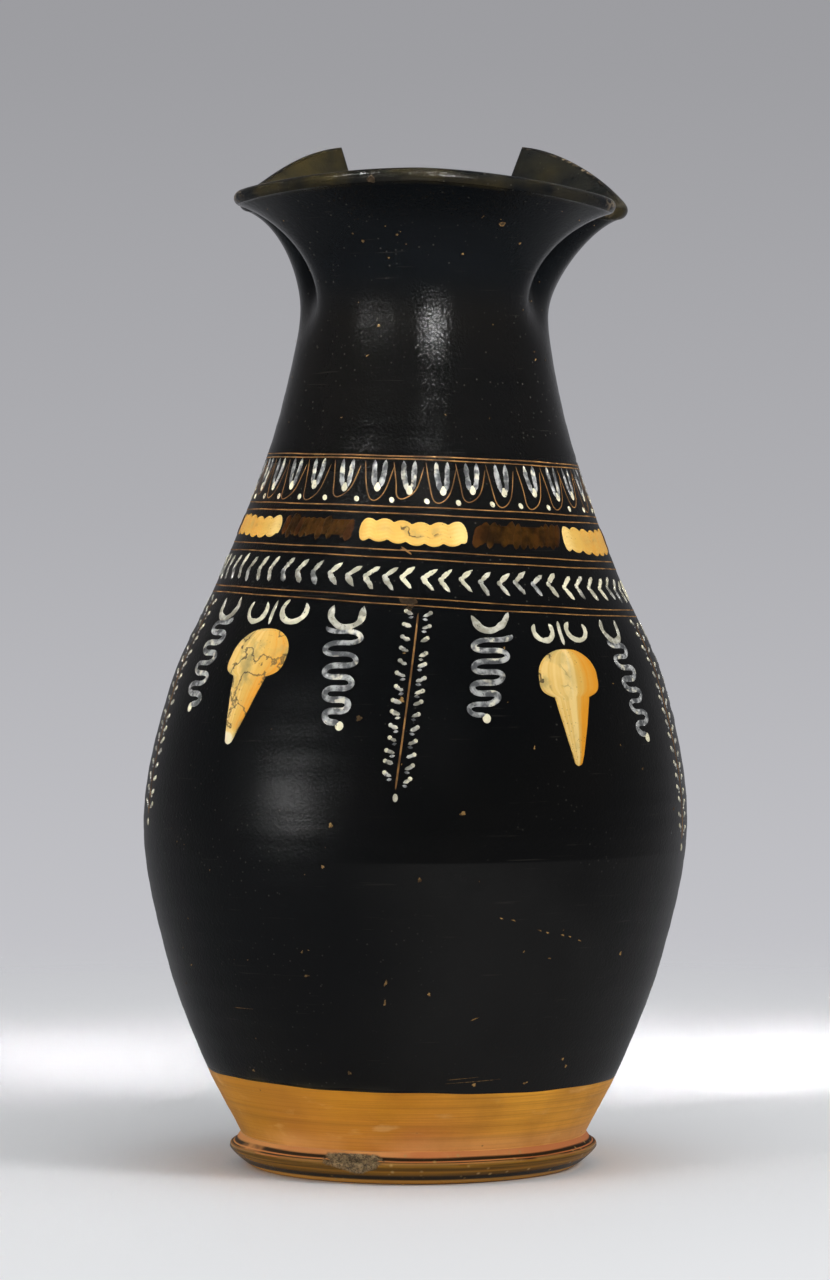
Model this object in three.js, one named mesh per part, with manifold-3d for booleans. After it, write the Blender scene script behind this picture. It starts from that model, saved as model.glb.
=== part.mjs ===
// Oinochoe: a wheel-thrown wine jug with a tall neck, a mouth pinched in at both sides, a ring foot
// and a strap handle, joined from separately made pieces with layers of luting clay.
// Millimetres, +Z up. The spout looks along -Y, the handle stands at +Y, the foot rests on z = 0.

import * as THREE from 'three';
import { mergeVertices } from 'three/addons/utils/BufferGeometryUtils.js';
import Module from 'manifold-3d';

const wasm = await Module();
wasm.setup();

// Foot: a ring with a swelling side and a shelf that slopes up to the body
const FOOT_HEIGHT = 9.0;
const FOOT_SOLE_OUTER_R = 48.0;
const FOOT_SOLE_INNER_R = 41.0;
const FOOT_EDGE_R = 53.6;
const FOOT_EDGE_Z = 5.4;
const FOOT_SHELF_DROP = 2.4;
const FOOT_HOLLOW_R = 37.5;
const FOOT_ARRIS = 0.5;
const FOOT_SWELL_SHARE = 0.4;

// Body and neck, outer face: radius at three heights, and how the wall curves between them,
// as shares of the height and of the radius from one to the next
const BASE_R = 50.4;
const BELLY_R = 79.3;
const BELLY_Z = 100;
const THROAT_R = 36.8;
const THROAT_Z = 246;
const LOWER_CURVE = [[0.226, 0.367], [0.558, 0.754]];
const UPPER_CURVE = [[0.274, 0.172], [0.48, 0.485], [0.685, 0.759], [0.836, 0.912]];
const BODY_WALL = 4.8;
const NECK_WALL = 4.0;
const FLOOR_THICKNESS = 5.4;
const FLOOR_FILLET = 12;
const FLOOR_FILLET_REACH = 19.2;
const UNDERSIDE_RISE = 1.0;
const NECK_JOINT_Z = 204.5;

// Mouth: middle of the lip at the spout, at the pinched corners and at the rear wings
const SPOUT_R = 55.6;
const SPOUT_Z = 283.6;
const CORNER_R = 57.4;
const CORNER_Z = 278.4;
const WING_R = 57.6;
const WING_Z = 299.3;
const LIP_R = 2.15;
const PINCH_DEPTH = 22;
const PINCH_FROM_Z = 234;
const PINCH_LOW_ANGLE = 71;
const PINCH_HIGH_ANGLE = 86;
const PINCH_LOW_SPREAD = 17;
const PINCH_HIGH_SPREAD = 9.5;
const SPOUT_FLARE = 36;
const CORNER_FLARE = 14;
const WING_FLARE = 56;
const MOUTH_TILT = 1.4;
const REAR_SHIFT = 1.8;

// How the mouth changes round its edge, as angles from the spout from which and to which it changes
const SPOUT_TO_CORNER_R = [0, 75];
const CORNER_TO_WING_R = [95, 155];
const SPOUT_TO_CORNER_Z = [-4, 84];
const CORNER_TO_WING_Z = [92, 156];
const FLARE_TO_WING = [110, 160];
const THROAT_TO_REAR = [80, 110];
const TILT_FADE = [100, 150];
const SHIFT_RISE = [70, 105];
const SHIFT_FADE = [115, 150];
const CORNER_SPREAD = 30;

// How far the lip's flare and the throat's upright part reach, as shares of the mouth's height
const FLARE_SHARE = 0.33;
const FRONT_THROAT_SHARE = 0.55;
const REAR_THROAT_SHARE = 0.28;
const CORNER_REACH = 4;

// Notch between the wings, where the handle seats
const NOTCH_FLOOR_Z = 283;
const NOTCH_FLOOR_WIDTH = 44;
const NOTCH_SIDE_ANGLE = 17;
const NOTCH_CUT_FROM = 23;

// Handle
const STRAP_WIDTH = 26;
const STRAP_ROOT_WIDTH = 42;
const STRAP_ANKLE_WIDTH = 28;
const STRAP_FOOT_WIDTH = 36;
const STRAP_THICKNESS = 7.6;
const STRAP_CROWN = 0.9;
const FINGER_GAP = 33;
const HANDLE_FOOT_Z = 178;
const HANDLE_BEND = 17;

// Handle's path: where it starts to drop, its ankle and its toe as shares of the bend,
// its eases as shares of the way, and the rounding of its edges as a share of its thickness
const TURN_SHARE = 1.6;
const ANKLE_SHARES = [0.62, 0.85];
const TOE_SHARES = [0.35, 0.6];
const EASE_OVER = 0.6;
const EASE_DOWN = 0.45;
const STRAP_EDGE_SHARE = 0.45;

// Luting clay and clearances
const JOINT_LAYER = 0.6;
const JOINT_SQUEEZE = 1.2;
const HANDLE_LAYER = 1.6;
const HANDLE_LAYER_MARGIN = 2.2;
const SEAT_GAP = 0.3;

// The jug leans a little to the right, more and more with height
const LEAN = 4.2;
const LEAN_GROWTH = 1.7;

// Fineness of the surfaces
const ROUND_SIDES = 64;
const NECK_SIDES = 88;
const BODY_STEPS = 14;
const NECK_STEPS = 4;
const MOUTH_STEPS = 8;
const LIP_ANGLES = [-80, -40, 0, 40, 80];
const CURVE_STEPS = 4;
const STRAP_EDGE_STEPS = 6;
const STRAP_CROWN_STEPS = 4;
const OVER_STEPS = 2;
const BEND_STEPS = 8;
const DROP_STEPS = 12;
const TOE_STEPS = 3;
const PAD_STEPS = 10;
const HALVINGS = 30;
const WELD = 1e-4;

// Colours
const GLOSS_BLACK = 0x1c1d1c;
const FOOT_BROWN = 0x6a5030;
const CLAY_ORANGE = 0xb5763f;

// Heights that follow from the sizes above
const BODY_BASE_Z = FOOT_HEIGHT + JOINT_LAYER;
const BODY_TOP_Z = NECK_JOINT_Z - JOINT_LAYER / 2;
const NECK_BASE_Z = NECK_JOINT_Z + JOINT_LAYER / 2;
const FLOOR_Z = BODY_BASE_Z + UNDERSIDE_RISE + FLOOR_THICKNESS;
const STRAP_SEAT_Z = NOTCH_FLOOR_Z + HANDLE_LAYER + 2 * SEAT_GAP;

const radians = THREE.MathUtils.degToRad;
const { lerp, smoothstep } = THREE.MathUtils;

// Outer face as [height, radius, slope] at each point of the outline
const OUTLINE = outlinePoints();

function outlinePoints() {
  const points = [[BODY_BASE_Z, BASE_R]];
  for (const [up, out] of LOWER_CURVE) {
    points.push([lerp(BODY_BASE_Z, BELLY_Z, up), lerp(BASE_R, BELLY_R, out)]);
  }
  points.push([BELLY_Z, BELLY_R]);
  for (const [up, inward] of UPPER_CURVE) {
    points.push([lerp(BELLY_Z, THROAT_Z, up), lerp(BELLY_R, THROAT_R, inward)]);
  }
  points.push([THROAT_Z, THROAT_R]);
  const last = points.length - 1;
  return points.map(([z, r], i) => {
    if (i === last || z === BELLY_Z) return [z, r, 0];
    const before = points[Math.max(i - 1, 0)];
    const after = points[i + 1];
    return [z, r, (after[1] - before[1]) / (after[0] - before[0])];
  });
}

function outerRadius(z) {
  let i = 0;
  while (i < OUTLINE.length - 2 && z > OUTLINE[i + 1][0]) i++;
  const [z0, r0, slope0] = OUTLINE[i];
  const [z1, r1, slope1] = OUTLINE[i + 1];
  const span = z1 - z0;
  const t = (z - z0) / span;
  const s = 1 - t;
  const blend0 = s * s * (1 + 2 * t);
  const blend1 = t * t * (3 - 2 * t);
  return r0 * blend0 + r1 * blend1 + span * (slope0 * t * s * s - slope1 * t * t * s);
}

// Radius of a face that lies a distance off the outer face, outward when positive
function offsetRadius(z, distance) {
  const step = 0.5;
  const slope = (outerRadius(z + step) - outerRadius(z - step)) / (2 * step);
  return outerRadius(z) + distance * Math.hypot(1, slope);
}

function lean(z) {
  return LEAN * Math.pow(Math.max(z, 0) / WING_Z, LEAN_GROWTH);
}

// Middle of the wall at the lip; the angle is 0 at the spout and 180 degrees at the handle
function lipMiddle(angle) {
  const radius = SPOUT_R + (CORNER_R - SPOUT_R) * smoothstep(angle, ...SPOUT_TO_CORNER_R)
    + (WING_R - CORNER_R) * smoothstep(angle, ...CORNER_TO_WING_R);
  const z = SPOUT_Z + (CORNER_Z - SPOUT_Z) * smoothstep(angle, ...SPOUT_TO_CORNER_Z)
    + (WING_Z - CORNER_Z) * smoothstep(angle, ...CORNER_TO_WING_Z);
  return [radius, z];
}

function pinchedRadius(radius, z, angle, lipRadius) {
  const climb = THREE.MathUtils.clamp((z - THROAT_Z) / (CORNER_Z - THROAT_Z), 0, 1);
  const at = lerp(PINCH_LOW_ANGLE, PINCH_HIGH_ANGLE, climb);
  const spread = lerp(PINCH_LOW_SPREAD, PINCH_HIGH_SPREAD, climb);
  const away = (angle - at) / spread;
  const press = smoothstep(z, PINCH_FROM_Z, CORNER_Z) * Math.exp(-away * away);
  return radius * (1 - press * PINCH_DEPTH / lipRadius);
}

// Middle of the neck's wall: s runs from 0 at the joint through 1 at the throat to 2 at the lip
function neckMiddle(theta, s) {
  const angle = THREE.MathUtils.radToDeg(Math.abs(theta));
  const [lipRadius, lipZ] = lipMiddle(angle);
  let radius;
  let z;
  if (s < 1) {
    z = lerp(NECK_BASE_Z, THROAT_Z, s);
    radius = offsetRadius(z, -NECK_WALL / 2);
  } else {
    const corner = Math.exp(-(((angle - PINCH_HIGH_ANGLE) / CORNER_SPREAD) ** 2));
    const flare = radians(SPOUT_FLARE + (CORNER_FLARE - SPOUT_FLARE) * corner
      + (WING_FLARE - SPOUT_FLARE) * smoothstep(angle, ...FLARE_TO_WING));
    const reach = FLARE_SHARE * (lipZ - THROAT_Z) + CORNER_REACH * corner;
    const toRear = smoothstep(angle, ...THROAT_TO_REAR);
    const throatPull = (lipZ - THROAT_Z) * lerp(FRONT_THROAT_SHARE, REAR_THROAT_SHARE, toRear);
    const t = s - 1;
    const throat = THROAT_R - NECK_WALL / 2;
    const lowR = lipRadius - reach * Math.cos(flare);
    const lowZ = lipZ - reach * Math.sin(flare);
    radius = bezier(t, throat, throat, lowR, lipRadius);
    z = bezier(t, THROAT_Z, THROAT_Z + throatPull, lowZ, lipZ);
  }
  radius = pinchedRadius(radius, z, angle, lipRadius);
  const x = radius * Math.sin(theta);
  const climb = smoothstep(z, THROAT_Z, CORNER_Z);
  const tilt = Math.tan(radians(MOUTH_TILT)) * climb * (1 - smoothstep(angle, ...TILT_FADE));
  const shifted = smoothstep(angle, ...SHIFT_RISE) * (1 - smoothstep(angle, ...SHIFT_FADE));
  const shift = REAR_SHIFT * climb * shifted;
  return new THREE.Vector3(x + shift, -radius * Math.cos(theta), z - x * tilt);
}

function bezier(t, a, b, c, d) {
  const u = 1 - t;
  return u * u * u * a + 3 * u * u * t * b + 3 * u * t * t * c + t * t * t * d;
}

// Point of the neck's wall with the directions out of the wall and up along it
function neckFrame(theta, s) {
  const step = 1e-3;
  const low = Math.min(s, 2 - step);
  const point = neckMiddle(theta, s);
  const along = neckMiddle(theta, low + step).sub(neckMiddle(theta, low)).normalize();
  const around = neckMiddle(theta + step, s).sub(neckMiddle(theta - step, s)).normalize();
  const out = new THREE.Vector3().crossVectors(around, along).normalize();
  const up = new THREE.Vector3().crossVectors(out, around).normalize();
  return { point, out, up };
}

// Closed surface through rings of equal length; a loop joins the last ring to the first,
// otherwise each end is closed by a fan about its middle
function ringSurface(rings, loop) {
  const count = rings[0].length;
  const positions = rings.flat().flatMap((p) => [p.x, p.y, p.z]);
  const index = [];
  const bands = loop ? rings.length : rings.length - 1;
  for (let i = 0; i < bands; i++) {
    const next = (i + 1) % rings.length;
    for (let j = 0; j < count; j++) {
      const side = (j + 1) % count;
      const a = i * count + j;
      const b = i * count + side;
      const c = next * count + side;
      const d = next * count + j;
      index.push(a, b, c, a, c, d);
    }
  }
  if (!loop) {
    for (const [ring, first] of [[rings[0], 0], [rings.at(-1), (rings.length - 1) * count]]) {
      const middle = ring.reduce((sum, p) => sum.add(p), new THREE.Vector3()).divideScalar(count);
      const hub = positions.length / 3;
      positions.push(middle.x, middle.y, middle.z);
      for (let j = 0; j < count; j++) {
        const side = (j + 1) % count;
        if (first === 0) index.push(hub, first + side, first + j);
        else index.push(hub, first + j, first + side);
      }
    }
  }
  const geometry = new THREE.BufferGeometry();
  geometry.setAttribute('position', new THREE.Float32BufferAttribute(positions, 3));
  geometry.setIndex(index);
  return geometry;
}

function revolve(profile) {
  const points = profile.map(([r, z]) => new THREE.Vector2(r, z));
  return new THREE.LatheGeometry(points, ROUND_SIDES).rotateX(Math.PI / 2);
}

function toSolid(geometry) {
  const bare = geometry.clone();
  bare.deleteAttribute('normal');
  bare.deleteAttribute('uv');
  const merged = mergeVertices(bare, WELD);
  return new wasm.Manifold(new wasm.Mesh({
    numProp: 3,
    vertProperties: new Float32Array(merged.attributes.position.array),
    triVerts: new Uint32Array(merged.index.array),
  }));
}

function toGeometry(solid) {
  const mesh = solid.getMesh();
  const geometry = new THREE.BufferGeometry();
  geometry.setAttribute('position', new THREE.BufferAttribute(mesh.vertProperties, 3));
  geometry.setIndex(new THREE.BufferAttribute(mesh.triVerts, 1));
  return geometry;
}

function steps(from, to, count) {
  return Array.from({ length: count + 1 }, (_, i) => lerp(from, to, i / count));
}

function footGeometry() {
  const side = new THREE.QuadraticBezierCurve(
    new THREE.Vector2(FOOT_SOLE_OUTER_R, 0),
    new THREE.Vector2(FOOT_EDGE_R - FOOT_ARRIS, FOOT_EDGE_Z * FOOT_SWELL_SHARE),
    new THREE.Vector2(FOOT_EDGE_R, FOOT_EDGE_Z),
  );
  const profile = [
    [FOOT_SOLE_INNER_R, 0],
    ...side.getPoints(CURVE_STEPS).map((p) => [p.x, p.y]),
    [FOOT_EDGE_R - FOOT_ARRIS, FOOT_HEIGHT - FOOT_SHELF_DROP],
    [BASE_R, FOOT_HEIGHT],
    [FOOT_HOLLOW_R, FOOT_HEIGHT],
    [FOOT_SOLE_INNER_R, 0],
  ];
  return revolve(profile);
}

// Flat ring of clay between two pieces, squeezed out a little on its inner side
function layerGeometry(lowZ, highZ, innerR, outerLowR, outerHighR) {
  const middleZ = (lowZ + highZ) / 2;
  return revolve([
    [innerR, lowZ],
    [outerLowR, lowZ],
    [outerHighR, highZ],
    [innerR, highZ],
    [innerR - JOINT_SQUEEZE, middleZ],
    [innerR, lowZ],
  ]);
}

function footLutingGeometry() {
  return layerGeometry(FOOT_HEIGHT, BODY_BASE_Z, FOOT_HOLLOW_R, BASE_R, BASE_R);
}

function neckLutingGeometry() {
  const inner = offsetRadius(NECK_JOINT_Z, -BODY_WALL);
  return layerGeometry(BODY_TOP_Z, NECK_BASE_Z, inner, outerRadius(BODY_TOP_Z), outerRadius(NECK_BASE_Z));
}

function bodyGeometry() {
  const wallFootZ = FLOOR_Z + FLOOR_FILLET;
  const floorR = offsetRadius(FLOOR_Z, -BODY_WALL);
  const fillet = new THREE.QuadraticBezierCurve(
    new THREE.Vector2(offsetRadius(wallFootZ, -BODY_WALL), wallFootZ),
    new THREE.Vector2(floorR, FLOOR_Z),
    new THREE.Vector2(floorR - FLOOR_FILLET_REACH, FLOOR_Z),
  );
  const profile = [
    [0, BODY_BASE_Z + UNDERSIDE_RISE],
    [FOOT_HOLLOW_R - JOINT_SQUEEZE, BODY_BASE_Z],
    ...steps(BODY_BASE_Z, BODY_TOP_Z, BODY_STEPS).map((z) => [outerRadius(z), z]),
    ...steps(BODY_TOP_Z, wallFootZ, BODY_STEPS).map((z) => [offsetRadius(z, -BODY_WALL), z]),
    ...fillet.getPoints(CURVE_STEPS).slice(1).map((p) => [p.x, p.y]),
    [0, FLOOR_Z],
  ];
  return revolve(profile);
}

// Prism that cuts the notch out of the back of the rim
function notchSolid() {
  const top = WING_Z + 4 * LIP_R;
  const half = NOTCH_FLOOR_WIDTH / 2;
  const halfTop = half + (top - NOTCH_FLOOR_Z) * Math.tan(radians(NOTCH_SIDE_ANGLE));
  const shape = new THREE.Shape([
    new THREE.Vector2(-half, NOTCH_FLOOR_Z),
    new THREE.Vector2(half, NOTCH_FLOOR_Z),
    new THREE.Vector2(halfTop, top),
    new THREE.Vector2(-halfTop, top),
  ]);
  const prism = new THREE.ExtrudeGeometry(shape, { depth: WING_R, bevelEnabled: false, steps: 1 });
  prism.rotateX(Math.PI / 2).translate(0, NOTCH_CUT_FROM + WING_R, 0);
  return toSolid(prism);
}

function neckGeometry() {
  const levels = [...steps(0, 1, NECK_STEPS), ...steps(1, 2, MOUTH_STEPS).slice(1)];
  const thetas = steps(-Math.PI, Math.PI, NECK_SIDES).slice(0, -1);
  const half = NECK_WALL / 2;
  const wallRing = (s, side) => thetas.map((theta) => {
    const { point, out } = neckFrame(theta, s);
    const shift = out.multiplyScalar(side * half);
    if (s === 0) shift.z = 0;
    return point.add(shift);
  });
  const lipRing = (degrees) => thetas.map((theta) => {
    const { point, out, up } = neckFrame(theta, 2);
    const turn = radians(degrees);
    return point.addScaledVector(up, LIP_R * Math.cos(turn)).addScaledVector(out, -LIP_R * Math.sin(turn));
  });
  const rings = [
    ...levels.map((s) => wallRing(s, 1)),
    ...LIP_ANGLES.map(lipRing),
    ...levels.toReversed().map((s) => wallRing(s, -1)),
  ];
  return toGeometry(toSolid(ringSurface(rings, true)).subtract(notchSolid()));
}

// Distance from the axis to the middle of the back wall at the floor of the notch
function notchMiddleR() {
  let low = 1;
  let high = 2;
  for (let i = 0; i < HALVINGS; i++) {
    const s = (low + high) / 2;
    if (neckMiddle(Math.PI, s).z < NOTCH_FLOOR_Z) low = s;
    else high = s;
  }
  return neckMiddle(Math.PI, low).y;
}

// Middle line of the strap in the plane x = 0: over the notch, round, down and into the shoulder
function handlePath() {
  const seat = notchMiddleR();
  const reach = THROAT_R + FINGER_GAP + STRAP_THICKNESS / 2;
  const topZ = STRAP_SEAT_Z + STRAP_THICKNESS / 2;
  const lowR = outerRadius(HANDLE_FOOT_Z);
  const at = (y, z) => new THREE.Vector3(0, y, z);
  const overRim = seat + NECK_WALL;
  const turnZ = topZ - TURN_SHARE * HANDLE_BEND;
  const [ankleOut, ankleUp] = ANKLE_SHARES.map((share) => share * HANDLE_BEND);
  const [toeIn, toeDown] = TOE_SHARES.map((share) => share * HANDLE_BEND);
  const ankle = at(lowR + ankleOut, HANDLE_FOOT_Z + ankleUp);
  const toe = at(lowR - toeIn, HANDLE_FOOT_Z - toeDown);
  const back = ankle.clone().sub(toe);
  const path = new THREE.CurvePath();
  path.add(new THREE.LineCurve3(at(seat - NECK_WALL, topZ), at(overRim, topZ)));
  path.add(new THREE.CubicBezierCurve3(
    at(overRim, topZ), at(lerp(overRim, reach, EASE_OVER), topZ),
    at(reach, lerp(turnZ, topZ, EASE_DOWN)), at(reach, turnZ),
  ));
  path.add(new THREE.CubicBezierCurve3(
    at(reach, turnZ), at(reach, lerp(turnZ, HANDLE_FOOT_Z, EASE_DOWN)), ankle.clone().add(back), ankle,
  ));
  path.add(new THREE.LineCurve3(ankle, toe));
  return path;
}

// Section of the strap: flat underside, round edges, crowned top; the second value points outward
function strapSection(width, thickness) {
  const round = STRAP_EDGE_SHARE * thickness;
  const halfWidth = width / 2 - round;
  const halfThick = thickness / 2;
  const points = [];
  for (const [side, from] of [[1, -90], [-1, 90]]) {
    for (const turn of steps(from, from + 180, STRAP_EDGE_STEPS)) {
      const a = radians(turn);
      points.push([side * halfWidth + round * Math.cos(a), halfThick * Math.sin(a)]);
    }
  }
  const top = steps(halfWidth, -halfWidth, STRAP_CROWN_STEPS).slice(1, -1);
  const crown = top.map((x) => [x, halfThick + STRAP_CROWN * (1 - (x / halfWidth) ** 2)]);
  points.splice(STRAP_EDGE_STEPS + 1, 0, ...crown);
  return points;
}

// Strap swept along part of a path, its width and thickness grown by a margin on each side
function sweep(curves, margin) {
  const rings = [];
  curves.forEach(({ curve, count, width }, i) => {
    for (const t of steps(0, 1, count).slice(i === 0 ? 0 : 1)) {
      const middle = curve.getPoint(t);
      const along = curve.getTangent(t);
      const out = new THREE.Vector3(0, -along.z, along.y);
      const section = strapSection(width(t) + 2 * margin, STRAP_THICKNESS + 2 * margin);
      rings.push(section.map(([x, n]) => middle.clone().addScaledVector(out, n).setX(-x)));
    }
  });
  return toSolid(ringSurface(rings, false));
}

function strapCurves() {
  const [over, bend, drop, foot] = handlePath().curves;
  const taper = (from, to) => (t) => lerp(from, to, smoothstep(t, 0, 1));
  return [
    { curve: over, count: OVER_STEPS, width: () => STRAP_ROOT_WIDTH },
    { curve: bend, count: BEND_STEPS, width: taper(STRAP_ROOT_WIDTH, STRAP_WIDTH) },
    { curve: drop, count: DROP_STEPS, width: taper(STRAP_WIDTH, STRAP_ANKLE_WIDTH) },
    { curve: foot, count: TOE_STEPS, width: taper(STRAP_ANKLE_WIDTH, STRAP_FOOT_WIDTH) },
  ];
}

// Solid that fills the body out to a distance off its outer face, near the handle's foot
function shoulderSolid(distance) {
  const low = HANDLE_FOOT_Z - 2 * HANDLE_BEND;
  const high = Math.min(HANDLE_FOOT_Z + 2 * HANDLE_BEND, THROAT_Z);
  const wall = steps(low, high, BODY_STEPS).map((z) => [offsetRadius(z, distance), z]);
  return toSolid(revolve([[0, low], ...wall, [0, high]]));
}

function handleGeometry() {
  const clear = shoulderSolid(HANDLE_LAYER + 2 * SEAT_GAP);
  return toGeometry(sweep(strapCurves(), 0).subtract(clear));
}

function lowerLutingGeometry() {
  const root = sweep(strapCurves().slice(-1), HANDLE_LAYER_MARGIN);
  const outside = shoulderSolid(HANDLE_LAYER + SEAT_GAP);
  return toGeometry(root.intersect(outside).subtract(shoulderSolid(SEAT_GAP)));
}

function upperLutingGeometry() {
  const middle = notchMiddleR();
  const inner = middle - NECK_WALL;
  const outer = middle + NECK_WALL;
  const half = Math.asin((NOTCH_FLOOR_WIDTH / 2 - SEAT_GAP) / outer);
  const shape = new THREE.Shape();
  shape.absarc(0, 0, outer, Math.PI / 2 - half, Math.PI / 2 + half, false);
  shape.absarc(0, 0, inner, Math.PI / 2 + half, Math.PI / 2 - half, true);
  const slab = new THREE.ExtrudeGeometry(shape, {
    depth: HANDLE_LAYER, bevelEnabled: false, steps: 1, curveSegments: PAD_STEPS,
  });
  return slab.translate(0, 0, NOTCH_FLOOR_Z + SEAT_GAP);
}

function finish(color, roughness) {
  return new THREE.MeshStandardMaterial({ color, roughness, metalness: 0 });
}

function addPiece(group, name, geometry, material) {
  const position = geometry.attributes.position;
  for (let i = 0; i < position.count; i++) {
    position.setX(i, position.getX(i) + lean(position.getZ(i)));
  }
  geometry.computeVertexNormals();
  const mesh = new THREE.Mesh(geometry, material);
  mesh.name = name;
  group.add(mesh);
}

const oinochoe = new THREE.Group();
addPiece(oinochoe, 'foot', footGeometry(), finish(FOOT_BROWN, 0.45));
addPiece(oinochoe, 'foot_luting', footLutingGeometry(), finish(CLAY_ORANGE, 0.85));
addPiece(oinochoe, 'body', bodyGeometry(), finish(GLOSS_BLACK, 0.25));
addPiece(oinochoe, 'neck_luting', neckLutingGeometry(), finish(CLAY_ORANGE, 0.85));
addPiece(oinochoe, 'neck', neckGeometry(), finish(GLOSS_BLACK, 0.25));
addPiece(oinochoe, 'handle_upper_luting', upperLutingGeometry(), finish(CLAY_ORANGE, 0.85));
addPiece(oinochoe, 'handle', handleGeometry(), finish(GLOSS_BLACK, 0.25));
addPiece(oinochoe, 'handle_lower_luting', lowerLutingGeometry(), finish(CLAY_ORANGE, 0.85));

export default oinochoe;
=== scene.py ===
"""Looks of the oinochoe: a black-gloss jug with incised and painted ornament, set in a pale studio."""

import math

import bmesh
import bpy
import numpy as np
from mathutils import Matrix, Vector


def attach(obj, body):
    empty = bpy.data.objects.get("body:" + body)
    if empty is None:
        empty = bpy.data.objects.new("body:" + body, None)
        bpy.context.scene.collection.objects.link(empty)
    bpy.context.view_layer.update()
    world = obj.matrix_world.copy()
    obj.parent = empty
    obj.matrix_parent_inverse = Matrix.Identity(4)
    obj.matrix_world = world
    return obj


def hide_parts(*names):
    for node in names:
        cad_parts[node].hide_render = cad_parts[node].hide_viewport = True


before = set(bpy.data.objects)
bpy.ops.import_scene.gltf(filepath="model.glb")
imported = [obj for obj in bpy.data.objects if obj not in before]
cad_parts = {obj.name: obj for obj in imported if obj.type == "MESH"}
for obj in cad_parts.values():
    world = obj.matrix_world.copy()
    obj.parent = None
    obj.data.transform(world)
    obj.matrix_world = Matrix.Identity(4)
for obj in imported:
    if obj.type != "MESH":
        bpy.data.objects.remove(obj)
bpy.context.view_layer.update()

MM = 0.001
TAU = 2 * math.pi

# The jug's own sizes in millimetres, as in its solids
FOOT_HEIGHT = 9.0
FOOT_SOLE_OUTER_R = 48.0
FOOT_SOLE_INNER_R = 41.0
FOOT_EDGE_R = 53.6
FOOT_EDGE_Z = 5.4
FOOT_SHELF_DROP = 2.4
FOOT_HOLLOW_R = 37.5
BASE_Z = 9.6
BASE_R = 50.4
BELLY_R = 79.3
BELLY_Z = 100
THROAT_R = 36.8
THROAT_Z = 246
LOWER_CURVE = [(0.226, 0.367), (0.558, 0.754)]
UPPER_CURVE = [(0.274, 0.172), (0.48, 0.485), (0.685, 0.759), (0.836, 0.912)]
BODY_WALL = 4.8
NECK_WALL = 4.0
FLOOR_Z = 16.0
FLOOR_FILLET = 12
UNDERSIDE_RISE = 1.0
NECK_JOINT_Z = 204.5
SPOUT_R = 55.6
SPOUT_Z = 283.6
CORNER_R = 57.4
CORNER_Z = 278.4
WING_R = 57.6
WING_Z = 299.3
LIP_R = 2.15
PINCH_DEPTH = 22
PINCH_FROM_Z = 234
PINCH_ANGLES = (71, 86)
PINCH_SPREADS = (17, 9.5)
FLARES = (36, 14, 56)
MOUTH_TILT = 1.4
REAR_SHIFT = 1.8
NOTCH_FLOOR_Z = 283
NOTCH_FLOOR_WIDTH = 44
NOTCH_SIDE_ANGLE = 17
STRAP_WIDTH = 26
STRAP_ROOT_WIDTH = 42
STRAP_ANKLE_WIDTH = 28
STRAP_FOOT_WIDTH = 36
STRAP_THICKNESS = 7.6
STRAP_CROWN = 0.9
FINGER_GAP = 33
HANDLE_FOOT_Z = 178
HANDLE_BEND = 17
HANDLE_SEAT_Z = 285.2
LEAN = 4.2
LEAN_GROWTH = 1.7

UNEVEN_UP_TO_Z = 240

# Fineness of the visible surfaces
ROUND_SIDES = 288
NECK_SIDES = 320
FOOT_SIDES = 760
STRAP_SIDES = 40
BARE_ROWS = 22
GLOSS_ROWS = 150
INSIDE_ROWS = 70
HANDLE_STEPS = 90
CURVE_STEPS = 8
ROUND = np.linspace(0, TAU, ROUND_SIDES, endpoint=False)


def smoothstep(x, low, high):
    t = np.clip((x - low) / (high - low), 0, 1)
    return t * t * (3 - 2 * t)


def lerp(a, b, t):
    return a + (b - a) * t


def bezier(t, a, b, c, d):
    u = 1 - t
    return u ** 3 * a + 3 * u * u * t * b + 3 * u * t * t * c + t ** 3 * d


def outline_points():
    points = [(BASE_Z, BASE_R)]
    points += [(lerp(BASE_Z, BELLY_Z, a), lerp(BASE_R, BELLY_R, b)) for a, b in LOWER_CURVE]
    points.append((BELLY_Z, BELLY_R))
    points += [(lerp(BELLY_Z, THROAT_Z, a), lerp(BELLY_R, THROAT_R, b)) for a, b in UPPER_CURVE]
    points.append((THROAT_Z, THROAT_R))
    slopes = []
    for i, (z, _) in enumerate(points):
        if z in (BELLY_Z, THROAT_Z):
            slopes.append(0)
            continue
        before, after = points[max(i - 1, 0)], points[i + 1]
        slopes.append((after[1] - before[1]) / (after[0] - before[0]))
    return [(z, r, slope) for (z, r), slope in zip(points, slopes)]


OUTLINE = outline_points()


def outer_radius(z):
    """Radius of the outer face of body and neck at a height, before any unevenness."""
    z = np.asarray(z, float)
    heights = np.array([p[0] for p in OUTLINE])
    radii = np.array([p[1] for p in OUTLINE])
    slopes = np.array([p[2] for p in OUTLINE])
    i = np.clip(np.searchsorted(heights, z, side="right") - 1, 0, len(OUTLINE) - 2)
    span = heights[i + 1] - heights[i]
    t = (z - heights[i]) / span
    s = 1 - t
    ends = radii[i] * s * s * (1 + 2 * t) + radii[i + 1] * t * t * (3 - 2 * t)
    return ends + span * (slopes[i] * t * s * s - slopes[i + 1] * t * t * s)


def outer_slope(z):
    return outer_radius(np.asarray(z) + 0.5) - outer_radius(np.asarray(z) - 0.5)


def offset_radius(z, distance):
    return outer_radius(z) + distance * np.hypot(1, outer_slope(z))


def lean(z):
    return LEAN * (np.maximum(z, 0) / WING_Z) ** LEAN_GROWTH


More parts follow.
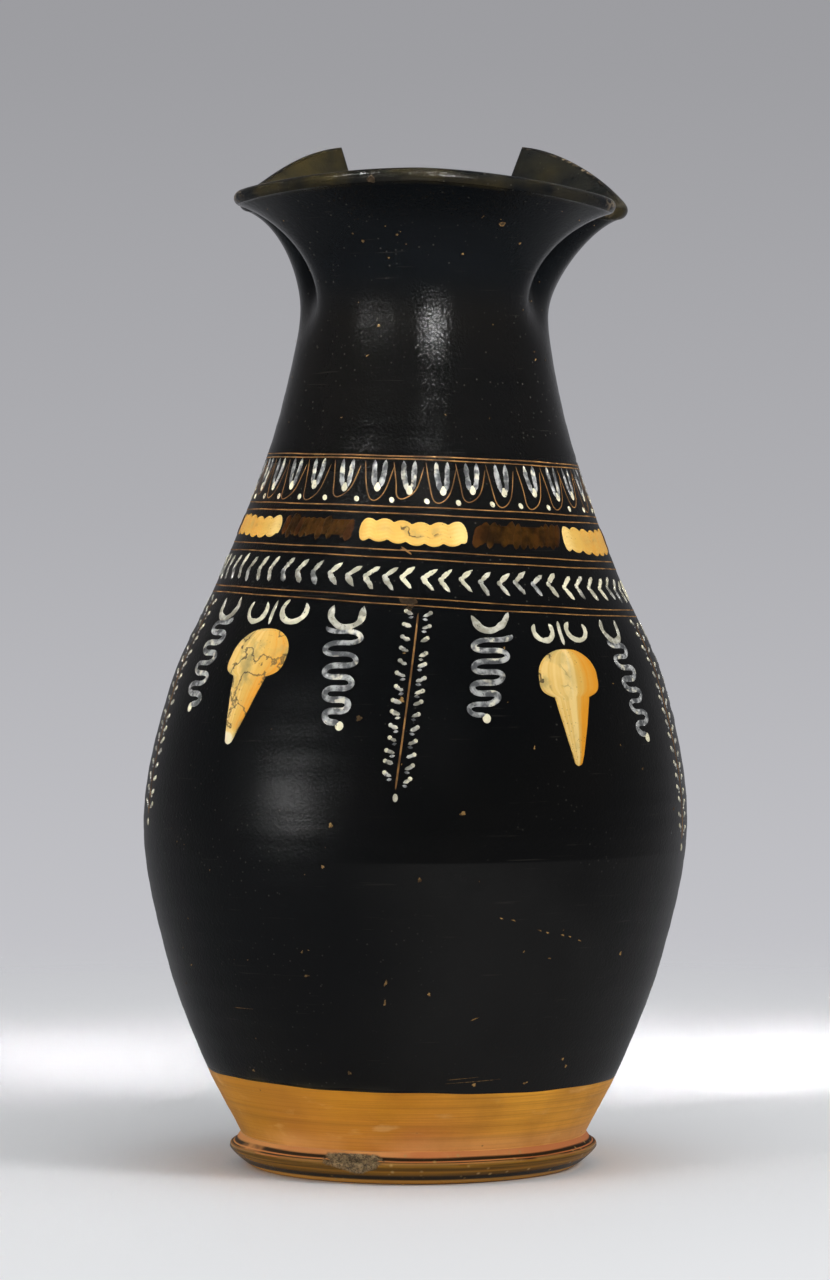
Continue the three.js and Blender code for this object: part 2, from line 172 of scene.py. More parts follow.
def unevenness(phi, z):
    """Small swellings and turning marks that a thrown wall keeps, in millimetres."""
    wave = 0.10 * np.sin(2 * phi + 0.021 * z + 0.6) + 0.07 * np.sin(3 * phi - 0.034 * z + 2.1)
    wave += 0.05 * np.sin(5 * phi + 0.09 * z)
    turning = 0.035 * np.sin(0.83 * z + 0.5 * np.sin(phi)) + 0.02 * np.sin(2.17 * z + 1.3)
    fade = smoothstep(z, BASE_Z, BASE_Z + 6) * (1 - smoothstep(z, 215, 240))
    return (wave + turning) * fade


def wall_point(phi, z, lift=0.0):
    """Point a lift above the outer face; phi is 0 at the front and grows to the right."""
    slope = outer_slope(z)
    steep = np.hypot(1, slope)
    r = outer_radius(z) + unevenness(phi, z) + lift / steep
    up = -lift * slope / steep
    return np.stack([r * np.sin(phi) + lean(z), -r * np.cos(phi), z + up], -1)


def lip_middle(angle):
    radius = SPOUT_R + (CORNER_R - SPOUT_R) * smoothstep(angle, 0, 75)
    radius = radius + (WING_R - CORNER_R) * smoothstep(angle, 95, 155)
    z = CORNER_Z + (SPOUT_Z - CORNER_Z) * smoothstep(-angle, -84, 4)
    z = z + (WING_Z - CORNER_Z) * smoothstep(angle, 92, 156)
    return radius, z


def neck_middle(theta, s):
    """Middle of the neck's wall: s is 0 at the joint, 1 at the throat and 2 at the lip."""
    angle = np.degrees(np.abs(theta))
    lip_r, lip_z = lip_middle(angle)
    low_z = lerp(NECK_JOINT_Z, THROAT_Z, np.clip(s, 0, 1))
    low_r = offset_radius(low_z, -NECK_WALL / 2)
    corner = np.exp(-((angle - PINCH_ANGLES[1]) / 30) ** 2)
    spout, side, wing = FLARES
    flare = np.radians(spout + (side - spout) * corner + (wing - spout) * smoothstep(angle, 110, 160))
    reach = 0.33 * (lip_z - THROAT_Z) + 4 * corner
    pull = (lip_z - THROAT_Z) * lerp(0.55, 0.28, smoothstep(angle, 80, 110))
    t = np.clip(s - 1, 0, 1)
    throat = THROAT_R - NECK_WALL / 2
    high_r = bezier(t, throat, throat, lip_r - reach * np.cos(flare), lip_r)
    high_z = bezier(t, THROAT_Z, THROAT_Z + pull, lip_z - reach * np.sin(flare), lip_z)
    radius = np.where(s < 1, low_r, high_r)
    z = np.where(s < 1, low_z, high_z)
    climb = np.clip((z - THROAT_Z) / (CORNER_Z - THROAT_Z), 0, 1)
    away = (angle - lerp(*PINCH_ANGLES, climb)) / lerp(*PINCH_SPREADS, climb)
    press = smoothstep(z, PINCH_FROM_Z, CORNER_Z) * np.exp(-away * away)
    radius = radius * (1 - press * PINCH_DEPTH / lip_r)
    rise = smoothstep(z, THROAT_Z, CORNER_Z)
    x = radius * np.sin(theta)
    tilt = math.tan(math.radians(MOUTH_TILT)) * rise * (1 - smoothstep(angle, 100, 150))
    shift = REAR_SHIFT * rise * smoothstep(angle, 70, 105) * (1 - smoothstep(angle, 115, 150))
    return np.stack([x + shift, -radius * np.cos(theta), z - x * tilt], -1)


def unit(v):
    return v / np.linalg.norm(v, axis=-1, keepdims=True)


def neck_frame(theta, s):
    step = 1e-3
    low = np.minimum(s, 2 - step)
    point = neck_middle(theta, s)
    along = unit(neck_middle(theta, low + step) - neck_middle(theta, low))
    around = unit(neck_middle(theta + step, s) - neck_middle(theta - step, s))
    out = unit(np.cross(around, along))
    up = unit(np.cross(out, around))
    return point, out, up


def grid_faces(rows, columns, close_rows=False, close_columns=True, caps=False):
    """Faces between the points of a grid; caps fill its first and last row."""
    faces = []
    for i in range(rows if close_rows else rows - 1):
        above = (i + 1) % rows
        for j in range(columns if close_columns else columns - 1):
            side = (j + 1) % columns
            faces.append((i * columns + j, i * columns + side, above * columns + side, above * columns + j))
    if caps:
        last = (rows - 1) * columns
        faces.append(tuple(range(columns))[::-1])
        faces.append(tuple(range(last, last + columns)))
    return faces


def make_piece(name, points, faces, materials, replaces=(), face_slots=None, smooth=40, values=None):
    """One named piece of the jug; values holds a number per point under each name."""
    mesh = bpy.data.meshes.new(name)
    mesh.from_pydata([tuple(p) for p in np.asarray(points) * MM], [], faces)
    for material in materials:
        mesh.materials.append(material)
    if face_slots is not None:
        mesh.polygons.foreach_set("material_index", face_slots)
    mesh.shade_smooth()
    mesh.set_sharp_from_angle(angle=math.radians(smooth))
    mesh.update()
    for key, numbers in (values or {}).items():
        layer = mesh.attributes.new(key, "FLOAT", "POINT")
        layer.data.foreach_set("value", np.asarray(numbers, np.float32).ravel())
    piece = bpy.data.objects.new(name, mesh)
    bpy.context.scene.collection.objects.link(piece)
    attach(piece, "root")
    if replaces:
        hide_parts(*replaces)
    return piece


# Materials

class Nodes:
    """Short hand for wiring the nodes of one material, or of the world."""

    def __init__(self, name, world=None):
        self.material = world or bpy.data.materials.new(name)
        self.material.use_nodes = True
        self.tree = self.material.node_tree
        self.shader = self.tree.nodes.get("Principled BSDF")

    def node(self, kind, inputs=None, **settings):
        made = self.tree.nodes.new(kind)
        for key, value in settings.items():
            setattr(made, key, value)
        for key, value in (inputs or {}).items():
            self.feed(made.inputs[key], value)
        return made

    def feed(self, socket, value):
        if isinstance(value, bpy.types.NodeSocket):
            self.tree.links.new(value, socket)
        else:
            socket.default_value = value

    def place(self):
        return self.node("ShaderNodeTexCoord").outputs["Object"]

    def noise(self, scale, detail=3.0, stretch=None):
        place = self.place()
        if stretch:
            place = self.node("ShaderNodeMapping", {"Vector": place, "Scale": stretch}).outputs[0]
        inputs = {"Vector": place, "Scale": scale, "Detail": detail}
        return self.node("ShaderNodeTexNoise", inputs).outputs["Fac"]

    def spots(self, scale, size):
        cells = self.node("ShaderNodeTexVoronoi", {"Vector": self.place(), "Scale": scale})
        return self.ramp(cells.outputs["Distance"], size, 0.0)

    def ramp(self, value, low, high):
        inputs = {"Value": value, "From Min": low, "From Max": high}
        return self.node("ShaderNodeMapRange", inputs, interpolation_type="SMOOTHSTEP").outputs[0]

    def patches(self, scale, detail, low, high, stretch=None):
        """Areas with soft edges, where a noise passes from low to high."""
        return self.ramp(self.noise(scale, detail, stretch), low, high)

    def span(self, value, low, high):
        """Turns a way's component, from -1 to 1, into low to high."""
        inputs = {"Value": value, "From Min": -1, "To Min": low, "To Max": high}
        return self.node("ShaderNodeMapRange", inputs).outputs[0]

    def math(self, kind, a, b):
        made = self.node("ShaderNodeMath", operation=kind)
        self.feed(made.inputs[0], a)
        self.feed(made.inputs[1], b)
        return made.outputs[0]

    def scaled(self, value, factor, plus=0.0):
        made = self.node("ShaderNodeMath", operation="MULTIPLY_ADD")
        for socket, part in zip(made.inputs, (value, factor, plus)):
            self.feed(socket, part)
        return made.outputs[0]

    def mix(self, factor, a, b):
        made = self.node("ShaderNodeMix", data_type="RGBA")
        self.feed(made.inputs["Factor"], factor)
        for socket, value in ((made.inputs[6], a), (made.inputs[7], b)):
            self.feed(socket, value if isinstance(value, bpy.types.NodeSocket) else (*value, 1.0))
        return made.outputs[2]

    def lay(self, tint, color, mask, strength):
        """Lays a tint over a colour, as strongly as the mask times the strength."""
        return self.mix(self.scaled(mask, strength), color, tint)

    def value(self, name):
        return self.node("ShaderNodeAttribute", attribute_name=name).outputs["Fac"]

    def along(self, axis):
        return self.node("ShaderNodeSeparateXYZ", {"Vector": self.place()}).outputs[axis]

    def height(self):
        return self.along("Z")

    def bump(self, height, strength, distance=0.3 * MM):
        inputs = {"Height": height, "Strength": strength, "Distance": distance}
        self.feed(self.shader.inputs["Normal"], self.node("ShaderNodeBump", inputs).outputs[0])

    def finish(self, color, roughness, specular=0.5):
        self.shader.inputs["Specular IOR Level"].default_value = specular
        self.feed(self.shader.inputs["Base Color"], color)
        self.feed(self.shader.inputs["Roughness"], roughness)
        return self.material


def black_gloss():
    """Glossy black slip: olive brown where thin, with specks, faint scratches, turning marks and a painted
    reflection of the table low on the right.
    """
    n = Nodes("black_gloss")
    drift = n.patches(9, 4, 0.35, 0.75)
    color = n.mix(drift, (0.0026, 0.0029, 0.0032), (0.0064, 0.0057, 0.0048))
    color = n.mix(n.ramp(n.height(), 0.243, 0.262), color, (0.0030, 0.0038, 0.0046))
    thin = n.math("MULTIPLY", n.value("edge"), n.patches(110, 5, 0.30, 0.68))
    olive = n.mix(n.patches(31, 3, 0.42, 0.60), (0.018, 0.016, 0.011), (0.040, 0.030, 0.010))
    color = n.mix(thin, color, olive)
    worn = n.math("MULTIPLY", n.value("worn"), n.patches(520, 6, 0.46, 0.62))
    under = n.mix(n.patches(800, 3, 0.4, 0.6), (0.10, 0.075, 0.045), (0.24, 0.18, 0.115))
    color = n.mix(worn, color, under)
    dust = n.math("MULTIPLY", n.spots(430, 0.17), n.patches(25, 2, 0.42, 0.62))
    color = n.lay((0.14, 0.13, 0.11), color, n.math("MULTIPLY", dust, n.noise(350, 2)), 0.8)
    # Painted reflection of the table: paler grey over the gloss, below a level edge low on the body and
    # towards its right side.
    low_right = n.math("MULTIPLY", n.ramp(n.along("X"), -0.035, 0.020), n.ramp(n.height(), 0.0929, 0.0923))
    painted_table_reflection = n.math("MULTIPLY", low_right, n.scaled(n.patches(16, 4, 0.35, 0.65), 0.6, 0.4))
    color = n.mix(painted_table_reflection, color, (0.0105, 0.0103, 0.0100))
    scratch = n.patches(60, 2, 0.68, 0.76, (1, 1, 26))
    color = n.lay((0.040, 0.036, 0.030), color, scratch, 0.3)
    on_neck = n.ramp(n.height(), 0.190, 0.225)
    base = n.scaled(n.value("edge"), -0.12, n.scaled(on_neck, -0.19, 0.30))
    rough = n.scaled(n.patches(14, 5, 0.2, 0.9), 0.10, base)
    grain = n.scaled(n.noise(260, 3), 0.7, n.noise(1300, 2))
    turned = n.scaled(n.noise(16, 3, (1, 1, 9)), 1.2, grain)
    n.bump(turned, n.scaled(on_neck, 0.16, 0.26))
    return n.finish(color, rough, specular=0.095)


def bare_clay(name, hue, deep, red):
    """Bare orange clay with level wheel marks, painted shade on its left side and painted light on its
    right; red is how strongly the flushed areas show.
    """
    n = Nodes(name)
    color = n.mix(n.patches(38, 6, 0.36, 0.66), hue, deep)
    low = n.scaled(n.ramp(n.height(), 0.026, 0.010), 0.8, 0.2)
    flush = n.math("MULTIPLY", n.patches(14, 4, 0.40, 0.62), low)
    color = n.lay((0.52, 0.155, 0.045), color, flush, red)
    # Painted shade: a duller brown towards the left side. Painted light: a brighter orange towards the right
    # side.
    color = n.lay((0.33, 0.150, 0.012), color, n.ramp(n.along("X"), 0.0, -0.045), 0.42)
    color = n.lay((0.86, 0.40, 0.035), color, n.ramp(n.along("X"), -0.005, 0.035), 0.62)
    marks = n.patches(30, 4, 0.38, 0.72, (0.4, 0.4, 30))
    color = n.lay((0.22, 0.085, 0.008), color, marks, 0.28)
    fine = n.patches(60, 3, 0.50, 0.62, (0.25, 0.25, 60))
    color = n.lay((0.20, 0.075, 0.008), color, fine, 0.22)
    pale = n.math("MULTIPLY", n.ramp(n.height(), 0.0155, 0.0105), n.patches(24, 5, 0.30, 0.60))
    color = n.lay((0.74, 0.34, 0.105), color, pale, 0.75)
    stain = n.patches(18, 5, 0.56, 0.70)
    color = n.lay((0.26, 0.095, 0.010), color, stain, 0.5)
    rubbed = n.patches(75, 5, 0.60, 0.74, (1, 1, 3))
    color = n.lay((0.72, 0.40, 0.14), color, rubbed, 0.35)
    specks = n.math("MULTIPLY", n.spots(300, 0.14), n.patches(50, 2, 0.54, 0.62))
    color = n.mix(specks, color, (0.06, 0.032, 0.012))
    n.bump(n.math("ADD", marks, n.noise(500, 3)), 0.22)
    return n.finish(color, 0.42, specular=0.15)


def foot_finish():
    """Foot: orange shelf, dark painted lines, thin slip on the side, bare line at the bottom."""
    n = Nodes("foot_finish")
    streaks = n.noise(26, 4, (0.5, 0.5, 40))
    height = n.scaled(streaks, 0.0016, n.height())
    bare = n.mix(n.patches(30, 5, 0.35, 0.65), (0.60, 0.27, 0.085), (0.50, 0.17, 0.055))
    brown = n.mix(n.ramp(streaks, 0.35, 0.65), (0.33, 0.145, 0.013), (0.10, 0.050, 0.009))
    side = n.mix(n.ramp(height, 0.0046, 0.0030), brown, (0.026, 0.019, 0.011))
    side = n.mix(n.ramp(n.height(), 0.0017, 0.0010), side, (0.60, 0.29, 0.055))
    band = n.mix(n.value("shelf"), side, bare)
    painted = n.math("MULTIPLY", n.value("line"), n.patches(60, 4, 0.22, 0.42))
    color = n.mix(painted, band, (0.026, 0.014, 0.005))
    arris = n.math("MULTIPLY", n.value("arris"), n.patches(90, 5, 0.36, 0.52))
    color = n.mix(arris, color, (0.27, 0.145, 0.035))
    specks = n.math("MULTIPLY", n.spots(330, 0.27), n.patches(60, 2, 0.48, 0.55))
    color = n.mix(specks, color, (0.40, 0.25, 0.085))
    grit = n.scaled(n.noise(620, 3), 0.5, n.scaled(n.noise(2200, 2), 0.5))
    broken = n.mix(n.ramp(grit, 0.40, 0.60), (0.085, 0.060, 0.034), (0.28, 0.195, 0.100))
    color = n.mix(n.value("chip"), color, broken)
    n.bump(n.math("ADD", n.noise(300, 4), streaks), 0.2)
    rough = n.scaled(n.math("MAXIMUM", n.value("shelf"), n.value("chip")), 0.35, 0.27)
    return n.finish(color, rough, specular=0.15)


def white_paint():
    """Added white, thin and grey in places, thick and cream where the brush rested."""
    n = Nodes("added_white")
    thin = n.patches(420, 4, 0.40, 0.64)
    color = n.mix(thin, (0.070, 0.072, 0.074), (0.40, 0.40, 0.385))
    rested = n.patches(260, 2, 0.56, 0.66)
    color = n.lay((0.70, 0.66, 0.52), color, rested, 0.8)
    color = n.mix(n.value("cream"), color, (0.78, 0.72, 0.50))
    gaps = n.patches(1100, 3, 0.62, 0.70)
    color = n.lay((0.020, 0.020, 0.020), color, gaps, 0.75)
    n.bump(n.noise(700, 4), 0.5)
    return n.finish(color, 0.5)


def yellow_paint():
    """Added yellow, streaked along the brush, cracked and darkened in places."""
    n = Nodes("added_yellow")
    tone = n.scaled(n.noise(140, 4), 0.4, n.value("tone"))
    color = n.mix(n.ramp(tone, 0.1, 0.62), (0.74, 0.52, 0.185), (0.62, 0.365, 0.075))
    color = n.mix(n.ramp(tone, 0.62, 1.25), color, (0.64, 0.255, 0.012))
    color = n.mix(n.ramp(tone, 0.0, -0.5), color, (0.76, 0.68, 0.46))
    bands = n.patches(150, 5, 0.44, 0.60)
    color = n.mix(n.math("MULTIPLY", bands, n.value("patch")), color, (0.33, 0.25, 0.085))
    ridge = n.math("ABSOLUTE", n.math("SUBTRACT", n.noise(120, 6), 0.5), 0.0)
    crack = n.math("MULTIPLY", n.ramp(ridge, 0.024, 0.006), n.ramp(n.value("patch"), 0.25, 0.7))
    color = n.lay((0.050, 0.038, 0.018), color, crack, 0.9)
    pits = n.math("MULTIPLY", n.spots(1000, 0.22), n.patches(90, 2, 0.50, 0.60))
    color = n.mix(pits, color, (0.045, 0.032, 0.015))
    n.bump(n.noise(600, 4), 0.4)
    return n.finish(color, 0.45, specular=0.25)


def brown_paint():
    """Thin dilute brown, each stroke a little lighter or redder than the next."""
    n = Nodes("added_brown")
    streaks = n.patches(260, 5, 0.35, 0.66)
    color = n.mix(streaks, (0.012, 0.005, 0.001), (0.046, 0.0185, 0.0022))
    color = n.mix(n.ramp(n.value("tone"), 0.35, 1.0), color, (0.085, 0.022, 0.005))
    n.bump(n.noise(500, 4), 0.4)
    return n.finish(color, 0.42, specular=0.1)


def incised_line():
    n = Nodes("incised_line")
    color = n.mix(n.patches(200, 4, 0.35, 0.65), (0.11, 0.048, 0.010), (0.31, 0.150, 0.040))
    n.bump(n.noise(900, 3), 0.4, 0.2 * MM)
    return n.finish(color, 0.7)


def broken_clay():
    """Small losses in the gloss: tan clay with a darker rim."""
    n = Nodes("broken_clay")
    color = n.mix(n.patches(900, 3, 0.35, 0.6), (0.085, 0.045, 0.016), (0.38, 0.22, 0.075))
    color = n.mix(n.value("rim"), color, (0.028, 0.018, 0.010))
    n.bump(n.noise(1200, 3), 0.6)
    return n.finish(color, 0.7, specular=0.15)


BLACK = black_gloss()
RESERVED = bare_clay("reserved_clay", (0.58, 0.238, 0.013), (0.45, 0.172, 0.009), 0.75)
CLAY = bare_clay("inner_clay", (0.34, 0.155, 0.055), (0.28, 0.12, 0.04), 0.2)
FOOT = foot_finish()
WHITE = white_paint()
YELLOW = yellow_paint()
BROWN = brown_paint()
INCISED = incised_line()
BROKEN = broken_clay()


# The thrown pieces

def border_height(phi):
    """Lower edge of the black gloss above the bare band, wavering a little."""
    waver = 0.14 * np.sin(7 * phi + 1) + 0.07 * np.sin(17 * phi)
    return 27.6 - 0.5 * np.cos(phi) - 1.28 * np.sin(phi) + waver


# How soon the gloss thickens above its lower edge, as a share of the way up to the neck
GLOSS_EDGE_SHARE = 0.006
BODY_MATERIALS = [BLACK, RESERVED, CLAY]
ON_BLACK, ON_RESERVED, ON_CLAY = range(3)


def round_row(radius, z):
    """Row of points about the jug's axis, leaned as the wall is."""
    z = np.broadcast_to(z, ROUND.shape)
    return np.stack([radius * np.sin(ROUND) + lean(z), -radius * np.cos(ROUND), z], -1)


def inner_rows():
    """Rows down the inside of the body's wall, round its fillet and in to the middle of its floor."""
    foot_of_wall = FLOOR_Z + FLOOR_FILLET
    for z in np.linspace(NECK_JOINT_Z, foot_of_wall, INSIDE_ROWS):
        yield round_row(offset_radius(z, -BODY_WALL) + 0.06 * math.sin(1.1 * z), z)
    corner = float(offset_radius(FLOOR_Z, -BODY_WALL))
    start = float(offset_radius(foot_of_wall, -BODY_WALL))
    for t in np.linspace(0, 1, 9)[1:]:
        r = (1 - t) ** 2 * start + 2 * t * (1 - t) * corner + t * t * (corner - 1.6 * FLOOR_FILLET)
        z = (1 - t) ** 2 * foot_of_wall + (2 * t * (1 - t) + t * t) * FLOOR_Z
        yield round_row(r, z)
    for r in (12.0, 0.5):
        yield round_row(r, FLOOR_Z + 0.4 * (r < 1))


def make_body():
    border = border_height(ROUND)
    underside = []
    for t in (0.0, 0.4, 0.8, 1.0):
        z = BASE_Z + UNDERSIDE_RISE * (1 - smoothstep(t, 0.2, 0.8))
        underside.append(round_row(lerp(0.5, BASE_R - 0.6, t), z))
    bare = [wall_point(ROUND, lerp(BASE_Z, border, t)) for t in np.linspace(0, 1, BARE_ROWS)]
    shares = np.concatenate([[0.0015, 0.004, 0.008], np.linspace(0, 1, GLOSS_ROWS)[2:]])
    gloss = [wall_point(ROUND, lerp(border, NECK_JOINT_Z, t)) for t in shares]
    inside = list(inner_rows())
    points = np.concatenate(underside + bare + gloss + inside)
    rows = len(points) // ROUND_SIDES
    faces = grid_faces(rows, ROUND_SIDES, caps=True)
    kinds = np.repeat([ON_RESERVED, ON_BLACK, ON_CLAY],
                      [len(underside) + len(bare) - 1, len(gloss), len(inside)])
    slots = np.append(np.repeat(kinds, ROUND_SIDES), [ON_RESERVED, ON_CLAY])
    first = len(underside) + len(bare)
    edge = np.zeros((rows, ROUND_SIDES))
    edge[first - 1] = 1.0
    edge[first:first + len(gloss)] = np.exp(-shares / GLOSS_EDGE_SHARE)[:, None]
    make_piece("body_wall", points, faces, BODY_MATERIALS, ["body"], slots,
               values={"edge": edge})


def notch_cutter():
    top = WING_Z + 4 * LIP_R
    half = NOTCH_FLOOR_WIDTH / 2
    spread = math.tan(math.radians(NOTCH_SIDE_ANGLE))
    corner = 2.0
    section = [(-half + corner, NOTCH_FLOOR_Z), (half - corner, NOTCH_FLOOR_Z)]
    section += [(half, NOTCH_FLOOR_Z + corner), (half + (top - NOTCH_FLOOR_Z) * spread, top)]
    section += [(-x, z) for x, z in section[:1:-1]]
    near, far = WING_R * 0.4, WING_R * 1.4
    points = [(x + lean(z), y, z) for y in (near, far) for x, z in section]
    count = len(section)
    mesh = bpy.data.meshes.new("notch_cutter")
    faces = [tuple(range(count)), tuple(range(2 * count - 1, count - 1, -1))]
    faces += [(i, i + count, (i + 1) % count + count, (i + 1) % count) for i in range(count)]
    mesh.from_pydata([tuple(np.array(p) * MM) for p in points], [], faces)
    made = bmesh.new()
    made.from_mesh(mesh)
    bmesh.ops.recalc_face_normals(made, faces=made.faces)
    made.to_mesh(mesh)
    made.free()
    return bpy.data.objects.new("notch_cutter", mesh)


def make_neck():
    theta = np.linspace(-math.pi, math.pi, NECK_SIDES, endpoint=False)
    levels = np.concatenate([np.linspace(0, 1, 34), np.linspace(1, 2, 46)[1:]])
    rows, edge, lip, kinds = [], [], [], []

    def add(points, edge_value, kind, lip_value=0.0):
        shifted = points.copy()
        shifted[:, 0] += lean(points[:, 2])
        rows.append(shifted)
        edge.append(np.full(theta.shape, edge_value))
        lip.append(np.full(theta.shape, lip_value))
        kinds.append(kind)

    for s in levels:
        point, out, _ = neck_frame(theta, s)
        uneven = unevenness(theta, point[:, 2]) * (point[:, 2] < UNEVEN_UP_TO_Z)
        outside = point + out * (NECK_WALL / 2 + uneven)[:, None]
        if s == 0:
            outside[:, 2] = NECK_JOINT_Z
        add(outside, 0.55 * smoothstep(s, 1.95, 2.0), 0)
    for turn in np.radians(np.linspace(-85, 85, 12)):
        point, out, up = neck_frame(theta, 2.0)
        add(point + LIP_R * (up * math.cos(turn) - out * math.sin(turn)), 0.6, 0, 1.0)
    for s in levels[::-1]:
        point, out, _ = neck_frame(theta, s)
        inside = point - out * NECK_WALL / 2
        if s == 0:
            inside[:, 2] = NECK_JOINT_Z
        add(inside, 0.2 + 0.5 * smoothstep(s, 1.6, 2.0), 1 if s < 0.75 else 0)
    points = np.concatenate(rows)
    faces = grid_faces(len(rows), NECK_SIDES, close_rows=True)
    slots = np.repeat(kinds, NECK_SIDES)
    piece = make_piece("neck_and_mouth", points, faces, [BLACK, CLAY], ["neck"], slots,
                       values={"edge": np.concatenate(edge), "worn": np.concatenate(lip)})
    cut_notch(piece)
    mark_wear(piece)


def cut_notch(piece):
    """Cuts the notch, then rounds the edges that the cut leaves."""
    cutter = notch_cutter()
    bpy.context.scene.collection.objects.link(cutter)
    cut = piece.modifiers.new("notch", "BOOLEAN")
    cut.operation = "DIFFERENCE"
    cut.solver = "EXACT"
    cut.object = cutter
    bpy.context.view_layer.update()
    shaped = bpy.data.meshes.new_from_object(piece.evaluated_get(bpy.context.evaluated_depsgraph_get()))
    piece.modifiers.clear()
    bpy.data.objects.remove(cutter)
    piece.data = shaped
    made = bmesh.new()
    made.from_mesh(shaped)
    sharp = [e for e in made.edges if len(e.link_faces) == 2 and near_notch(e)
             and e.calc_face_angle(0) > math.radians(35)]
    bmesh.ops.bevel(made, geom=sharp, offset=0.45 * MM, segments=3, affect="EDGES", profile=0.6,
                    clamp_overlap=True)
    made.to_mesh(shaped)
    made.free()
    shaped.shade_smooth()
    shaped.set_sharp_from_angle(angle=math.radians(40))


def near_notch(edge):
    middle = (edge.verts[0].co + edge.verts[1].co) / 2 / MM
    return middle.y > WING_R * 0.6 and middle.z > NOTCH_FLOOR_Z - 1


def mark_wear(piece):
    """Keeps the lip's wear only where its gloss is worn: the wings' corners, the right wing's edge."""
    points = np.array([v.co for v in piece.data.vertices]) / MM
    lip = np.zeros(len(points), np.float32)
    piece.data.attributes["worn"].data.foreach_get("value", lip)
    x = points[:, 0] - lean(points[:, 2])
    half = NOTCH_FLOOR_WIDTH / 2 + (points[:, 2] - NOTCH_FLOOR_Z) * math.tan(math.radians(NOTCH_SIDE_ANGLE))
    corner = np.exp(-((np.abs(x) - half) / 1.6) ** 2) * smoothstep(points[:, 2], 298, 301)
    along = np.exp(-((points[:, 0] - 48) / 5) ** 2) * smoothstep(points[:, 1], -5, 5)
    ends = np.exp(-((points[:, 0] + 52) / 3) ** 2) + np.exp(-((points[:, 0] - 59) / 3) ** 2)
    worn = lip * (corner + 0.9 * along + 0.5 * ends * (points[:, 1] < 5))
    piece.data.attributes["worn"].data.foreach_set("value", np.clip(worn, 0, 1).astype(np.float32))


def foot_profile():
    """Closed outline of the foot as (radius, height), from the hollow round under and up the side."""
    profile = [(FOOT_HOLLOW_R, FOOT_HEIGHT), (lerp(FOOT_HOLLOW_R, FOOT_SOLE_INNER_R, 0.9), 1.0),
               (FOOT_SOLE_INNER_R, 0.25), (FOOT_SOLE_INNER_R + 0.5, 0.0), (44.5, 0.0),
               (FOOT_SOLE_OUTER_R - 0.8, 0.0), (FOOT_SOLE_OUTER_R - 0.1, 0.3)]
    for t in np.linspace(0, 1, 26)[1:]:
        r = bezier(t, FOOT_SOLE_OUTER_R - 0.1, 49.8, 52.6, FOOT_EDGE_R)
        profile.append((r, bezier(t, 0.3, 1.6, 3.8, FOOT_EDGE_Z)))
    shelf_z = FOOT_HEIGHT - FOOT_SHELF_DROP
    profile += [(FOOT_EDGE_R - 0.03, FOOT_EDGE_Z + 0.4), (FOOT_EDGE_R - 0.12, FOOT_EDGE_Z + 0.8),
                (FOOT_EDGE_R - 0.3, shelf_z - 0.12), (FOOT_EDGE_R - 0.6, shelf_z + 0.08)]
    for t in np.linspace(0, 1, 16)[1:]:
        sag = -0.35 * math.sin(math.pi * t) * (1 - 0.4 * t)
        z = lerp(shelf_z + 0.08, BASE_Z - 0.05, t ** 1.25) + sag
        profile.append((lerp(FOOT_EDGE_R - 0.6, BASE_R + 0.02, t), z))
    profile.append((FOOT_HOLLOW_R + 6, BASE_Z - 0.05))
    return profile


def make_foot():
    phi = np.linspace(0, TAU, FOOT_SIDES, endpoint=False)
    shelf_z = FOOT_HEIGHT - FOOT_SHELF_DROP
    rows = []
    values = {"shelf": [], "line": [], "arris": [], "chip": []}
    rng = np.random.default_rng(5)
    drift = 0.12 * np.sin(2 * phi) + 0.07 * np.sin(9 * phi + 1)
    for r, z in foot_profile():
        wobble = (0.08 * np.sin(3 * phi + 1) + 0.05 * np.sin(8 * phi)) * (r > FOOT_SOLE_OUTER_R - 1)
        bite = chip_depth(phi, r, z)
        rough = 0.14 * rng.standard_normal(FOOT_SIDES) * (bite > 0.12)
        radius = r + wobble - bite + rough
        height = z - 0.45 * bite * (z > shelf_z - 0.3) + 0.5 * rough
        rows.append(np.stack([radius * np.sin(phi), -radius * np.cos(phi), np.maximum(height, 0)], -1))
        inward = FOOT_EDGE_R - r + drift
        on_top = z > shelf_z - 0.2
        under = r < FOOT_SOLE_INNER_R + 6 and z < 2
        on_arris = FOOT_EDGE_Z + 0.7 < z < shelf_z + 0.1 and r > BASE_R + 2
        values["shelf"].append(np.full(FOOT_SIDES, float(on_top or under)))
        lines = smoothstep(inward, 0.3, 0.5) - smoothstep(inward, 1.0, 1.15)
        lines = lines + smoothstep(inward, 1.35, 1.5) - smoothstep(inward, 2.1, 2.35)
        values["line"].append(lines * on_top)
        values["arris"].append(np.full(FOOT_SIDES, 0.8 * on_arris))
        values["chip"].append(smoothstep(bite, 0.04, 0.3))
    points = np.concatenate(rows)
    faces = grid_faces(len(rows), FOOT_SIDES, close_rows=True)
    values = {name: np.concatenate(store) for name, store in values.items()}
    make_piece("foot_ring", points, faces, [FOOT], ["foot"], values=values)


def chip_depth(phi, r, z):
    """How far the broken edge of the foot is bitten in, front left: a ragged triangle, point down."""
    turn = np.degrees((phi + math.pi) % TAU - math.pi)
    half = lerp(1.6, 9.4, float(smoothstep(z, 2.8, 6.6)))
    across = (turn + 17.6 - 0.5 * (6.6 - z)) / half
    ragged = 0.14 * np.sin(11 * across + 2 * z) + 0.10 * np.sin(27 * across + 5 * z)
    shape = np.clip(1 - np.abs(across) ** 1.6 + ragged, 0, 1) ** 0.7
    reach = float(smoothstep(z, 2.9, 5.6)) * float(smoothstep(r, BASE_R + 0.2, BASE_R + 1.6))
    return 2.3 * shape * reach


